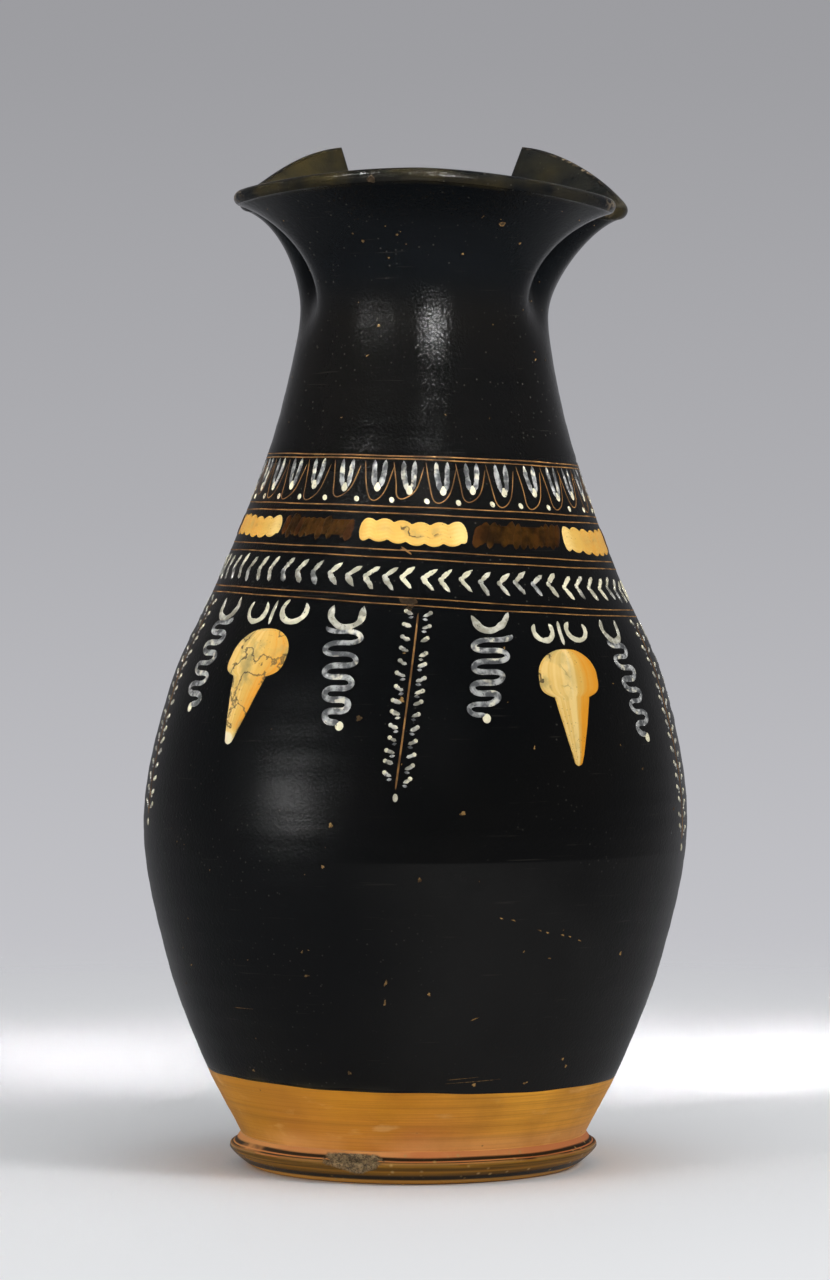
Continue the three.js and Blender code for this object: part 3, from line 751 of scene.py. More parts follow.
def make_layers():
    """Thin rings of luting clay inside the wall, and the squeezed-out bead in the neck."""
    def ring_piece(name, profile, node):
        rows = [round_row(r, z) for r, z in profile]
        faces = grid_faces(len(rows), ROUND_SIDES, close_rows=True)
        make_piece(name, np.concatenate(rows), faces, [CLAY], [node])

    inner = float(offset_radius(NECK_JOINT_Z, -BODY_WALL))
    bead = [(inner + 0.4 - 1.7 * math.sin(math.pi * t), NECK_JOINT_Z - 2 + 4 * t)
            for t in np.linspace(0, 1, 11)]
    bead += [(inner + 1.6, NECK_JOINT_Z + 1.2), (inner + 1.6, NECK_JOINT_Z - 1.2)]
    ring_piece("neck_joint_clay", bead[::-1], "neck_luting")
    seam = [(FOOT_HOLLOW_R + 3, BASE_Z - 0.5), (BASE_R - 0.2, BASE_Z - 0.5), (BASE_R + 0.15, BASE_Z - 0.1),
            (BASE_R - 0.2, BASE_Z + 0.25), (FOOT_HOLLOW_R + 3, BASE_Z + 0.1)]
    bead = [(FOOT_HOLLOW_R + 0.6 - 1.5 * math.sin(math.pi * t), BASE_Z + 0.3 - 1.6 * t)
            for t in np.linspace(0, 1, 7)]
    ring_piece("foot_joint_clay", seam + bead, "foot_luting")


# Handle

def seat_radius():
    low, high = 1.0, 2.0
    for _ in range(30):
        s = (low + high) / 2
        if neck_middle(np.array(math.pi), s)[2] < NOTCH_FLOOR_Z:
            low = s
        else:
            high = s
    return float(neck_middle(np.array(math.pi), low)[1])


# Powers that turn the strap's oval section into one with rounded edges and a flat underside
STRAP_SQUARENESS = 0.42
STRAP_FLATNESS = 0.75


def handle_path():
    """Middle line of the strap in the plane x = 0 as (y, z, share of the way in its part, part)."""
    seat = seat_radius()
    reach = THROAT_R + FINGER_GAP + STRAP_THICKNESS / 2
    top = HANDLE_SEAT_Z + STRAP_THICKNESS / 2
    low_r = float(outer_radius(HANDLE_FOOT_Z))
    over = np.array([seat + NECK_WALL, top])
    turn_z = top - 1.6 * HANDLE_BEND
    ankle = np.array([low_r + 0.62 * HANDLE_BEND, HANDLE_FOOT_Z + 0.85 * HANDLE_BEND])
    toe = np.array([low_r - 0.35 * HANDLE_BEND, HANDLE_FOOT_Z - 0.6 * HANDLE_BEND])
    parts = [
        lambda t: lerp(np.array([seat - NECK_WALL, top]), over, t),
        lambda t: bezier(t, over, np.array([lerp(over[0], reach, 0.6), top]),
                         np.array([reach, lerp(turn_z, top, 0.45)]), np.array([reach, turn_z])),
        lambda t: bezier(t, np.array([reach, turn_z]), np.array([reach, lerp(turn_z, HANDLE_FOOT_Z, 0.45)]),
                         2 * ankle - toe, ankle),
        lambda t: lerp(ankle, toe, t),
    ]
    shares = (0.10, 0.27, 0.46, 0.17)
    path = []
    for number, (part, share) in enumerate(zip(parts, shares)):
        steps = max(4, round(share * HANDLE_STEPS))
        for t in np.linspace(0, 1, steps, endpoint=number == 3):
            path.append((*part(t), t, number))
    return path


def strap_size(t, part):
    """Width and thickness of the strap, spread where it is pressed on and rounded off at its toe."""
    widths = (STRAP_ROOT_WIDTH, STRAP_ROOT_WIDTH, STRAP_WIDTH, STRAP_ANKLE_WIDTH, STRAP_FOOT_WIDTH)
    width = lerp(widths[part], widths[part + 1], float(smoothstep(t, 0, 1)))
    thick = STRAP_THICKNESS
    if part == 3:
        width *= math.sqrt(1 - 0.9 * float(smoothstep(t, 0.35, 1.1)) ** 2)
        thick *= 1 - 0.35 * t ** 2
    return width, thick


def strap_ring(width, thick):
    """Section of the strap: rounded edges, flat underside, crowned top with two faint ridges."""
    ring = []
    for a in np.linspace(0, TAU, STRAP_SIDES, endpoint=False):
        c, s = math.cos(a), math.sin(a)
        x = math.copysign(abs(c) ** STRAP_SQUARENESS, c) * width / 2
        n = math.copysign(abs(s) ** STRAP_FLATNESS, s) * thick / 2
        if s > 0:
            n += STRAP_CROWN * (1 - (2 * x / width) ** 2) + 0.25 * math.cos(3 * math.pi * x / width)
        ring.append((x, n))
    return ring


def make_handle():
    path = handle_path()
    centers = np.array([(p[0], p[1]) for p in path])
    tangents = unit(np.gradient(centers, axis=0))
    rings = []
    last = len(path) - 1
    for i, (y, z, t, part) in enumerate(path):
        width, thick = strap_size(t, part)
        ty, tz = tangents[i]
        closing = min(1.0, math.sqrt(max(0.0, 1 - (1 - min(i / 3, 1)) ** 2)) + 0.02)
        if last - i < 2:
            closing = 0.97
        ring = [(x * lerp(0.9, 1, closing) + 0.12 * math.sin(0.11 * z),
                 y - tz * n * closing, z + ty * n * closing) for x, n in strap_ring(width, thick)]
        rings.append(np.array(ring))
    points = np.concatenate(rings)
    within = outer_radius(points[:, 2]) - BODY_WALL / 2
    deepest = np.sqrt(within ** 2 - points[:, 0] ** 2)
    low = points[:, 2] < HANDLE_FOOT_Z + HANDLE_BEND
    points[:, 1] = np.where(low, np.maximum(points[:, 1], deepest), points[:, 1])
    points[:, 0] = -points[:, 0] + lean(points[:, 2])
    faces = grid_faces(len(rings), STRAP_SIDES, caps=True)
    make_piece("strap_handle", points, faces, [BLACK], ["handle"],
               values={"edge": np.full(len(points), 0.25)})


def make_lower_seat():
    """Mound of smoothed clay where the handle is pressed on the shoulder."""
    rings = []
    half_width, half_height = STRAP_FOOT_WIDTH / 2 + 3.5, 18.0
    radii = [1.0, 0.96, 0.91, 0.85, 0.78, 0.7, 0.61, 0.5, 0.38, 0.25, 0.04]
    count = 72
    middle_z = HANDLE_FOOT_Z + 1.0
    for share in radii:
        lift = -0.1 + 3.6 * float(smoothstep(1 - share, 0, 0.75))
        ring = []
        for a in np.linspace(0, TAU, count, endpoint=False):
            z = middle_z + half_height * share * math.sin(a)
            r = float(outer_radius(z))
            phi = math.pi + half_width * share * math.cos(a) / r
            ring.append(wall_point(np.array(phi), np.array(z), lift))
        rings.append(np.array(ring))
    under = [ring - np.array([0, 1.2, 0]) for ring in rings[::-1]]
    points = np.concatenate(rings + under)
    faces = grid_faces(2 * len(radii), count, close_rows=True)
    make_piece("handle_lower_seat", points, faces, [BLACK], ["handle_lower_luting"],
               values={"edge": np.full(len(points), 0.2)})


def make_upper_seat():
    """Pad of clay in the notch, under the handle's root."""
    seat = seat_radius()
    half = math.asin((NOTCH_FLOOR_WIDTH / 2 - 0.4) / (seat + NECK_WALL))
    low, high = NOTCH_FLOOR_Z - 0.2, HANDLE_SEAT_Z + 1.6
    inner, outer = seat - NECK_WALL + 0.6, seat + NECK_WALL - 0.4
    section = [(inner, low), (outer, low), (outer + 0.5, (low + high) / 2), (outer, high), (inner, high),
               (inner - 0.5, (low + high) / 2)]
    slices = []
    for turn in np.linspace(-half, half, 25):
        slices.append(np.array([(r * math.sin(turn) + float(lean(z)), r * math.cos(turn), z)
                                for r, z in section]))
    points = np.concatenate(slices)
    faces = grid_faces(len(slices), len(section), caps=True)
    make_piece("handle_upper_seat", points, faces, [BLACK], ["handle_upper_luting"],
               values={"edge": np.full(len(points), 0.5)})


# Ornament: strokes and patches of raised paint that follow the wall

class Paint:
    """Gathers strokes of one colour, then makes one piece of them."""

    def __init__(self, *value_names):
        self.points = []
        self.faces = []
        self.values = {name: [] for name in value_names}

    def add_grid(self, grid, closed=False, **values):
        rows, columns = grid.shape[:2]
        start = sum(len(p) for p in self.points)
        self.points.append(grid.reshape(-1, 3))
        faces = grid_faces(rows, columns, closed, close_columns=False)
        self.faces += [tuple(start + corner for corner in face) for face in faces]
        for name, store in self.values.items():
            store.append(np.broadcast_to(values.get(name, 0.0), (rows, columns)).ravel())

    def make(self, name, material):
        values = {key: np.concatenate(store) for key, store in self.values.items()}
        points = np.concatenate(self.points)
        make_piece(name, points, self.faces, [material], smooth=180, values=values)


ACROSS = np.array([-1, -0.86, -0.5, 0, 0.5, 0.86, 1])
DOME = np.array([-0.35, 0.45, 0.9, 1, 0.9, 0.45, -0.35])
END_WIDTHS = (0.0, 0.5, 0.8, 0.95)


def resample(points, step):
    """Points (phi in degrees, z in mm) at even steps along their way on the wall."""
    points = np.asarray(points, float)
    phi, z = points.T
    flat = np.stack([np.radians(phi) * outer_radius(z), z * np.hypot(1, outer_slope(z))], -1)
    lengths = np.concatenate([[0], np.cumsum(np.linalg.norm(np.diff(flat, axis=0), axis=1))])
    count = max(3, int(lengths[-1] / step) + 1)
    even = np.linspace(0, lengths[-1], count)
    return np.stack([np.interp(even, lengths, phi), np.interp(even, lengths, z)], -1)


def curve_through(points):
    """Smooth way through a few points."""
    p = np.asarray(points, float)
    p = np.vstack([2 * p[0] - p[1], p, 2 * p[-1] - p[-2]])
    out = []
    for i in range(1, len(p) - 2):
        for t in np.linspace(0, 1, CURVE_STEPS, endpoint=False):
            out.append(0.5 * (2 * p[i] + (p[i + 1] - p[i - 1]) * t
                              + (2 * p[i - 1] - 5 * p[i] + 4 * p[i + 1] - p[i + 2]) * t * t
                              + (3 * p[i] - p[i - 1] - 3 * p[i + 1] + p[i + 2]) * t ** 3))
    out.append(p[-2])
    return np.array(out)


def stroke(paint, points, width, lift=0.22, closed=False, step=0.5, wobble=0.0, rng=None, **values):
    """A brush stroke of a width in mm along points (phi in degrees, z in mm)."""
    way = resample(points, step)
    z = way[:, 1]
    r = outer_radius(z)
    steep = np.hypot(1, outer_slope(z))
    flat = np.stack([np.radians(way[:, 0]) * r, z * steep], -1)
    if closed:
        way, flat, r, steep = way[:-1], flat[:-1], r[:-1], steep[:-1]
        tangent = np.tile([1.0, 0.0], (len(way), 1))
    else:
        tangent = unit(np.gradient(flat, axis=0))
    side = np.stack([-tangent[:, 1], tangent[:, 0]], -1)
    widths = np.full(len(way), width / 2)
    if wobble and rng is not None:
        bumps = rng.uniform(-1, 1, 12)
        widths = widths * (1 + wobble * np.interp(np.linspace(0, 11, len(way)), np.arange(12), bumps))
    if not closed:
        ends = min(len(END_WIDTHS), len(way) // 2)
        for i in range(ends):
            scale = END_WIDTHS[i] if len(way) > 2 * len(END_WIDTHS) else END_WIDTHS[min(i * 2, 3)]
            widths[i] *= scale
            widths[-1 - i] *= scale
    across = widths[:, None] * ACROSS[None, :]
    phi = np.radians(way[:, 0])[:, None] + across * side[:, 0:1] / r[:, None]
    height = way[:, 1][:, None] + across * side[:, 1:2] / steep[:, None]
    thick = lift * np.clip(widths / (width / 2), 0, 1.2)[:, None] ** 0.5 * DOME[None, :]
    paint.add_grid(wall_point(phi, height, thick)[:, ::-1], closed, **values)


def wall_ring(phi, z, width, height, turn, lift, a, uneven=1.0):
    """Ring round a place on the wall, as wide and high as given before it is turned."""
    x = width / 2 * np.cos(a) * uneven
    y = height / 2 * np.sin(a) * uneven
    across = (x * math.cos(turn) - y * math.sin(turn)) / outer_radius(z)
    up = (x * math.sin(turn) + y * math.cos(turn)) / np.hypot(1, outer_slope(z))
    return wall_point(math.radians(phi) + across, z + up, np.full(len(a), lift))


def blob(paint, phi, z, width, height, lift=0.3, turn=0.0, **values):
    """A dab of paint, rounder than a stroke."""
    a = np.linspace(0, TAU, 19)
    grid = [wall_ring(phi, z, share * width, share * height, turn, lift * (1 - share ** 3) - 0.04, a)
            for share in (1.0, 0.9, 0.7, 0.4, 0.02)]
    paint.add_grid(np.array(grid), **values)


def patch(paint, lines, lift, values_of, rim=0.06):
    """A filled area given as lines across it, each from (phi, z) to (phi, z)."""
    count = 41
    share = np.linspace(0, 1, count)
    share = 0.5 - 0.5 * np.cos(math.pi * share)
    edge = np.clip(np.minimum(share, 1 - share) / rim, 0, 1)
    grid = []
    total = len(lines) - 1
    for i, ((phi_a, z_a), (phi_b, z_b)) in enumerate(lines):
        end = min(i, total - i) / max(1.5, rim * total)
        rise = np.sqrt(np.minimum(edge, min(end, 1))) * (lift + 0.05) - 0.05
        phi = lerp(phi_a, phi_b, share)
        z = lerp(z_a, z_b, share)
        grid.append(wall_point(np.radians(phi), z, rise))
    along = np.linspace(0, 1, len(lines))[:, None]
    paint.add_grid(np.array(grid), **values_of(np.tile(share, (len(lines), 1)), along))


# The rings: height at the front, tilt (drop towards the right), and distance between their two lines
RINGS = [(205.3, 1.7, 0.95), (190.9, 2.2, 2.0), (178.6, 3.0, 2.2), (165.4, 3.8, 1.9)]
ORNAMENT_REACH = 152
TONGUE_STEP = 11.25
CHEVRON_STEP = 5.35
BLOCK_EDGES = [(-17.4, 16.2, 0), (17.9, 49.3, 1), (50.6, 84, 0), (86, 117, 1), (119, 151, 0),
               (-46.3, -19.2, 1), (-80, -47.2, 0), (-112, -82, 1), (-148, -114, 0)]
MOTIF_STEP = 75.5


def ring_height(number, phi):
    """Height of a ring's upper line at an angle in degrees."""
    z, tilt, _ = RINGS[number]
    return z - tilt * np.sin(np.radians(phi))


def add_slips(incised):
    """Two short scratches where the tool slipped, at the front above the third ring."""
    stroke(incised, [(-4.0, 179.9), (-0.7, 177.6)], 0.6, lift=0.05)
    stroke(incised, [(-4.3, 179.2), (-2.2, 178.9)], 0.45, lift=0.05)


def add_rings(incised):
    phi = np.linspace(-180, 180, 721)
    for number, (_, _, gap) in enumerate(RINGS):
        for line in (0, 1):
            waver = 0.10 * np.sin(np.radians(3 * phi + 40 * number + 90 * line))
            waver += 0.05 * np.sin(np.radians(11 * phi + 70 * line))
            z = ring_height(number, phi) - gap * line + waver
            stroke(incised, np.stack([phi, z], -1), 0.36, lift=0.05, closed=True, step=0.7)


def add_tongues(white, incised):
    """Band of tongues: two white strokes meeting in a cream drop, each in an incised arc."""
    rng = np.random.default_rng(11)
    count = int(2 * ORNAMENT_REACH / TONGUE_STEP)
    for i in range(count):
        middle = (i - count // 2) * TONGUE_STEP - 2.6 + rng.uniform(-1.1, 1.1)
        top = float(ring_height(0, middle)) - 1.7
        foot = top - rng.uniform(7.3, 8.6)
        skew = rng.uniform(-0.5, 0.5)
        for side in (-1, 1):
            way = [(middle + side * 2.0, top + 0.5), (middle + side * 1.75, lerp(top, foot, 0.4)),
                   (middle + side * 1.2 + skew, lerp(top, foot, 0.8)), (middle + side * 0.5 + skew, foot)]
            stroke(white, curve_through(way), 1.6, lift=0.16, wobble=0.2, rng=rng, cream=0.0)
        blob(white, middle + skew, foot + 0.4, 2.0, 2.9, lift=0.3, cream=rng.uniform(0.6, 1.0))
        low = float(ring_height(1, middle)) + rng.uniform(1.1, 2.4)
        dip = rng.uniform(-1.6, 0.2)
        arc = [(middle - TONGUE_STEP / 2, top + 0.4), (middle - 4.3, lerp(top, low, 0.55)),
               (middle - 2.4 + dip, lerp(top, low, 0.93)), (middle + dip, low),
               (middle + 2.6, lerp(top, low, 0.75)), (middle + TONGUE_STEP / 2 - 0.4, top - 1.2)]
        stroke(incised, curve_through(arc), 0.35, lift=0.05, step=0.6)
        blob(white, middle + TONGUE_STEP / 2 + rng.uniform(-0.6, 0.6), float(ring_height(1, middle)) + 1.6,
             1.5, 1.9, lift=0.28, turn=rng.uniform(0.2, 0.8), cream=0.8)


def block_edges(phi):
    """Lower and upper edge of the band of blocks at an angle."""
    return float(ring_height(2, phi)) + 2.8, float(ring_height(1, phi)) - 4.8


def add_yellow_block(yellow, start, end, rng):
    scallops = max(4, round((end - start) / 5.6))
    columns = scallops * 10
    phase = rng.uniform(-0.15, 0.15)
    lines = []
    for i in range(columns + 1):
        t = i / columns
        phi = lerp(start, end, t)
        low, top = block_edges(phi)
        bump = abs(math.sin(math.pi * (t * scallops + phase))) ** 0.7
        dip = abs(math.sin(math.pi * (t * scallops + 0.3 + phase))) ** 0.7
        corner = min(t, 1 - t) * (end - start)
        rounded = math.sqrt(max(0.0, 1 - (1 - min(corner / 2.2, 1)) ** 2))
        middle = (top + low) / 2
        sag = 0.35 * math.sin(2.3 * math.pi * t + 6 * phase)
        high = lerp(middle, top + 1.05 * bump + sag, rounded)
        under = lerp(middle, low - 1.05 * dip + sag, rounded)
        lines.append(((phi, under), (phi, high)))

    aside = smoothstep(abs(start + end) / 2, 15, 35)

    def tones(across, along):
        patchy = np.exp(-((along - 0.52) / 0.26) ** 2) * np.exp(-((across - 0.55) / 0.24) ** 2)
        ripple = 0.05 * np.sin(math.pi * (2 * along * scallops + 0.5)) + 0.05 * np.sin(37 * across)
        inward = 1 - along if start > 15 else along
        warm = 0.34 * aside * (1 - smoothstep(inward, 0.5, 0.95))
        tone = 0.34 + ripple + warm - 0.3 * smoothstep(inward, 0.75, 1.0)
        return {"tone": tone, "patch": patchy * (1 - 0.6 * aside)}

    patch(yellow, lines, 0.25, tones)


def add_brown_block(brown, start, end, rng):
    """Thin brown wash with slanting strokes over it, ragged at both edges."""
    lines = []
    for t in np.linspace(0, 1, 40):
        phi = lerp(start + 0.8, end - 0.8, t)
        low, top = block_edges(phi)
        lines.append(((phi, low + 0.6), (phi + 1.2, top + 0.6)))
    patch(brown, lines, 0.10, lambda across, along: {"tone": 0.15})
    count = round((end - start) / 2.35)
    for i in range(count + 1):
        phi = lerp(start + 0.6, end - 1.6, i / count) + rng.uniform(-0.4, 0.4)
        low, top = block_edges(phi)
        high = top + rng.uniform(0.3, 2.2)
        under = low + rng.uniform(-1.3, 0.8)
        slant = rng.uniform(1.2, 2.6)
        way = [(phi - 0.2 * slant, under), (phi + 0.2 * slant, lerp(under, high, 0.4)), (phi + slant, high)]
        ends = 0.4 if i in (0, count) else 0.0
        stroke(brown, curve_through(way), rng.uniform(2.2, 3.3), lift=rng.uniform(0.13, 0.22), wobble=0.2,
               rng=rng, tone=ends + rng.uniform(0.0, 0.55))


def add_blocks(yellow, brown):
    """Band of blocks, yellow and brown by turns."""
    rng = np.random.default_rng(23)
    for start, end, kind in BLOCK_EDGES:
        if kind == 0:
            add_yellow_block(yellow, start, end, rng)
        else:
            add_brown_block(brown, start, end, rng)


def add_chevrons(white):
    rng = np.random.default_rng(31)
    count = int(2 * ORNAMENT_REACH / CHEVRON_STEP)
    for i in range(count):
        tip = (i - count // 2) * CHEVRON_STEP - 3.2 + rng.uniform(-0.3, 0.3)
        middle = (float(ring_height(2, tip)) + float(ring_height(3, tip))) / 2 - 1.0 + rng.uniform(-0.4, 0.4)
        left = smoothstep(-tip, 15, 50)
        arm = lerp(3.9, 2.9, left) + rng.uniform(-0.5, 0.4)
        drop = lerp(2.8, 1.5, left) + rng.uniform(-0.5, 0.4)
        high = lerp(2.9, 3.6, left) + rng.uniform(-0.35, 0.3)
        low = rng.uniform(3.0, 3.7)
        upper = [(tip, middle), (tip + arm * 0.5, middle + high * 0.55), (tip + arm, middle + high)]
        lower = [(tip - 0.1, middle + 0.2), (tip + drop * 0.45, middle - low * 0.45),
                 (tip + drop, middle - low)]
        cream = rng.uniform(0.0, 1.0) * lerp(0.35, 0.95, smoothstep(tip, -40, 10))
        stroke(white, upper, 1.5, lift=0.22, wobble=0.25, rng=rng, cream=0.3 + 0.7 * cream)
        stroke(white, lower, 1.75, lift=0.27, wobble=0.25, rng=rng, cream=cream)
        blob(white, tip + 0.3, middle + 0.1, 1.7, 1.7, lift=0.28, cream=cream)


def motif_drop(phi):
    """How much lower the motifs hang than at the front, following the lowest ring."""
    return float(ring_height(3, phi)) - RINGS[3][0]


def add_branch(white, incised, phi, length, drift, rng):
    """Straight stem with leaves on both sides."""
    top = RINGS[3][0] - 4.0 + motif_drop(phi)
    stroke(incised, [(phi + 1.4, top), (phi + 1.4 - drift, top - length)], 0.55, lift=0.06, step=0.7)
    count = round(length / 3.55)
    for side in (-1, 1):
        for i in range(count):
            t = (i + 0.15 * side + rng.uniform(-0.12, 0.12)) / count
            z = top - 0.2 - length * t
            stem = phi + 1.4 - drift * t
            near = stem + side * 1.25
            far = near + side * rng.uniform(1.7, 2.3)
            rise = rng.uniform(0.2, 1.0)
            stroke(white, [(near, z - 0.5), ((near + far) / 2, z - 0.1), (far, z + rise)], 1.25,
                   lift=0.2, wobble=0.3, rng=rng, cream=0.2)
            blob(white, far - side * 0.3, z + rise * 0.7, 1.3, 1.3, lift=0.3, cream=rng.uniform(0.2, 0.9))
            if rng.uniform() < 0.7:
                under = [(near - side * 0.1, z - 1.2), (lerp(near, far, 0.55), z - 1.3 - 0.3 * rise)]
                stroke(white, under, 1.0, lift=0.14, cream=0.0)
    blob(white, phi + 1.4 - drift, top - length - 2.2, 1.5, 2.4, lift=0.3, cream=0.5)


def add_fillet(white, phi, width, length, drift, turns, rng, mirror=1, narrow=1.0):
    """Crescent above a ribbon that winds down from side to side."""
    top = RINGS[3][0] - 3.2 + motif_drop(phi)
    half = width / 2
    if narrow < 1:
        crescent = [(-half, 0.6), (-half * 0.6, -2.6), (0.2, -4.4), (half * 0.6, -3.6), (half, -0.2)]
    else:
        crescent = [(-half * 0.82, 0.3), (-half * 0.85, -3.2), (-half * 0.1, -6.0), (half * 0.75, -4.4),
                    (half * 0.9, 0.0)]
    stroke(white, curve_through([(phi + mirror * x, top + z) for x, z in crescent]), 2.0,
           wobble=0.25, rng=rng, cream=0.3)
    steps = int(40 * turns)
    bend = 1.62
    angle = bend * np.sin(np.linspace(0, TAU * turns / 2, steps))
    x = np.cumsum(np.sin(angle))
    y = np.cumsum(-np.cos(angle))
    x = x - (x.max() + x.min()) / 2
    x = x / (x.max() - x.min()) * width * 0.95
    share = (y - y[0]) / (y[-1] - y[0])
    start = top - 5.6
    way = np.stack([phi + mirror * x * lerp(1, 0.58, share) - drift * share, start - length * share], -1)
    way[:, 0] += 0.35 * np.sin(0.9 * way[:, 1] + phi)
    stroke(white, way, 1.7, lift=0.2, wobble=0.2, rng=rng, step=0.45)
    blob(white, way[-1][0], way[-1][1] - 1.0, 2.5, 2.8, lift=0.32, cream=0.9)


DROP_LENGTH = 32.5
DROP_HALF_WIDTH = 10.5
DROP_HEAD_UP = 7.6
DROP_HEAD_DOWN = 6.4


def add_pendant_rings(white, phi, top, ring_size, rng):
    """The two small open rings and the short stroke that a drop hangs under."""
    fall = 2 * (1 - ring_size)
    for side, size, offset, turns in ((-1, 3.0, 6.2, (140, 400)), (1, 3.5, 6.4, (125, 395))):
        middle = phi + side * offset * ring_size + fall
        arc = [(middle + ring_size * size * 1.1 * math.cos(a), top - 3.0 + ring_size * 3.4 * math.sin(a))
               for a in np.radians(np.linspace(*turns, 12))]
        stroke(white, arc, 1.7, wobble=0.25, rng=rng, cream=0.6)
    short = [(phi + fall, top - 0.4), (phi - 0.5 + 2 * fall, top - 3.8), (phi - 0.6 + 3 * fall, top - 7.2)]
    stroke(white, short, 1.3, cream=0.5)


def drop_lines(phi, head_top, lean_to):
    """Lines across a drop, from its tip up to the top of its round head."""
    tip_z = head_top - DROP_LENGTH
    middle_z = head_top - DROP_HEAD_UP
    r = float(outer_radius(middle_z))
    lines = []
    for t in np.linspace(0, 1, 110):
        z = lerp(tip_z, head_top, t)
        s = (z - tip_z) / (middle_z - tip_z)
        stem = (0.9 + 6.6 * min(s, 1.0) ** 0.95) * min(1.0, math.sqrt(max(s, 0.0) / 0.03))
        if z > middle_z:
            head = DROP_HALF_WIDTH * math.sqrt(max(0.0, 1 - ((z - middle_z) / DROP_HEAD_UP) ** 2.2))
        else:
            head = DROP_HALF_WIDTH * max(0.0, 1 - min(1.0, (middle_z - z) / DROP_HEAD_DOWN) ** 4) ** 0.5
            head = max(head, stem)
        half = math.degrees(head / r)
        shift = lean_to * (1 - t)
        lines.append(((phi + shift - half, z), (phi + shift + half, z)))
    return lines


def drop_tones(pale_tip):
    """How warm and how cracked a drop's paint is: one kind is pale at its tip, one down its middle."""

    def tones(across, along):
        stripes = 0.10 * np.sin(41 * across + 1) + 0.07 * np.sin(97 * across)
        warm = 0.60 if pale_tip else 0.90
        body = 0.12 + warm * smoothstep(across, 0.35, 0.95) + 0.2 * np.sin(3 * along + 1) * across + stripes
        if pale_tip:
            body = body - 1.4 * (1 - smoothstep(along, 0.04, 0.16))
        else:
            body = body - 0.6 * np.exp(-((across - 0.5) / 0.10) ** 2)
        streak = np.exp(-((across - 0.42) / 0.16) ** 2) * (1.0 if pale_tip else 0.45)
        streak = np.maximum(streak, 0.6 if pale_tip else 0.0)
        edge = np.exp(-(across / 0.16) ** 2) * smoothstep(along, 0.5, 0.7)
        return {"tone": body, "patch": np.clip(streak + edge, 0, 1)}

    return tones


def add_pendant(yellow, white, phi, lean_to, rng, pale_tip, ring_size=1.0, drop=0.0):
    """Round-headed drop under two small open rings and a short stroke."""
    top = RINGS[3][0] - 2.6 + motif_drop(phi) - drop
    add_pendant_rings(white, phi, top, ring_size, rng)
    patch(yellow, drop_lines(phi, top - 8.2, lean_to), 0.28, drop_tones(pale_tip), rim=0.04)


def add_motifs(white, yellow, incised):
    rng = np.random.default_rng(47)
    add_branch(white, incised, 0, 48.5, 4.1, rng)
    for side in (-1, 1):
        add_branch(white, incised, side * MOTIF_STEP, 62, -0.3 * side, rng)
    add_fillet(white, -17.0, 9.6, 26.5, -0.8, 8.6, rng, mirror=1)
    add_fillet(white, 20.0, 10.2, 22.0, 4.6, 7.6, rng, mirror=-1, narrow=0.75)
    add_fillet(white, -58.5, 9.5, 24.5, 0.5, 8.6, rng, mirror=-1)
    add_fillet(white, 58.4, 8.0, 26.5, -2.2, 8.6, rng, mirror=1)
    for side in (-1, 1):
        add_fillet(white, side * 93, 10, 24, 0, 8.6, rng, mirror=side)
        add_fillet(white, side * 133, 10, 24, 0, 8.6, rng, mirror=-side)
    add_pendant(yellow, white, -38.8, -3.6, rng, True)
    add_pendant(yellow, white, 38.9, -1.6, rng, False, ring_size=0.84, drop=1.0)
    add_pendant(yellow, white, -114, 1.5, rng, False)
    add_pendant(yellow, white, 113, 0.5, rng, True)


def make_ornament():
    white = Paint("cream")
    yellow = Paint("tone", "patch")
    brown = Paint("tone")
    incised = Paint()
    add_rings(incised)
    add_slips(incised)
    add_tongues(white, incised)
    add_blocks(yellow, brown)
    add_chevrons(white)
    add_motifs(white, yellow, incised)
    white.make("painted_white", WHITE)
    yellow.make("painted_yellow", YELLOW)
    brown.make("painted_brown", BROWN)
    incised.make("incised_lines", INCISED)


def fleck(broken, phi, z, length, breadth, turn, rim=0.35, core=0.0):
    """A small loss in the gloss with an uneven outline; rim and core say how dark it is."""
    a = np.linspace(0, TAU, 17)
    uneven = 1 + 0.22 * np.sin(3 * a + phi) + 0.16 * np.sin(5 * a + z)
    rings = ((1.0, -0.03, rim), (0.85, 0.05, rim), (0.5, 0.03, core), (0.02, 0.03, core))
    grid = [wall_ring(phi, z, share * length, share * breadth, turn, lift, a, uneven)
            for share, lift, _ in rings]
    broken.add_grid(np.array(grid), rim=np.array([np.full(len(a), dark) for _, _, dark in rings]))


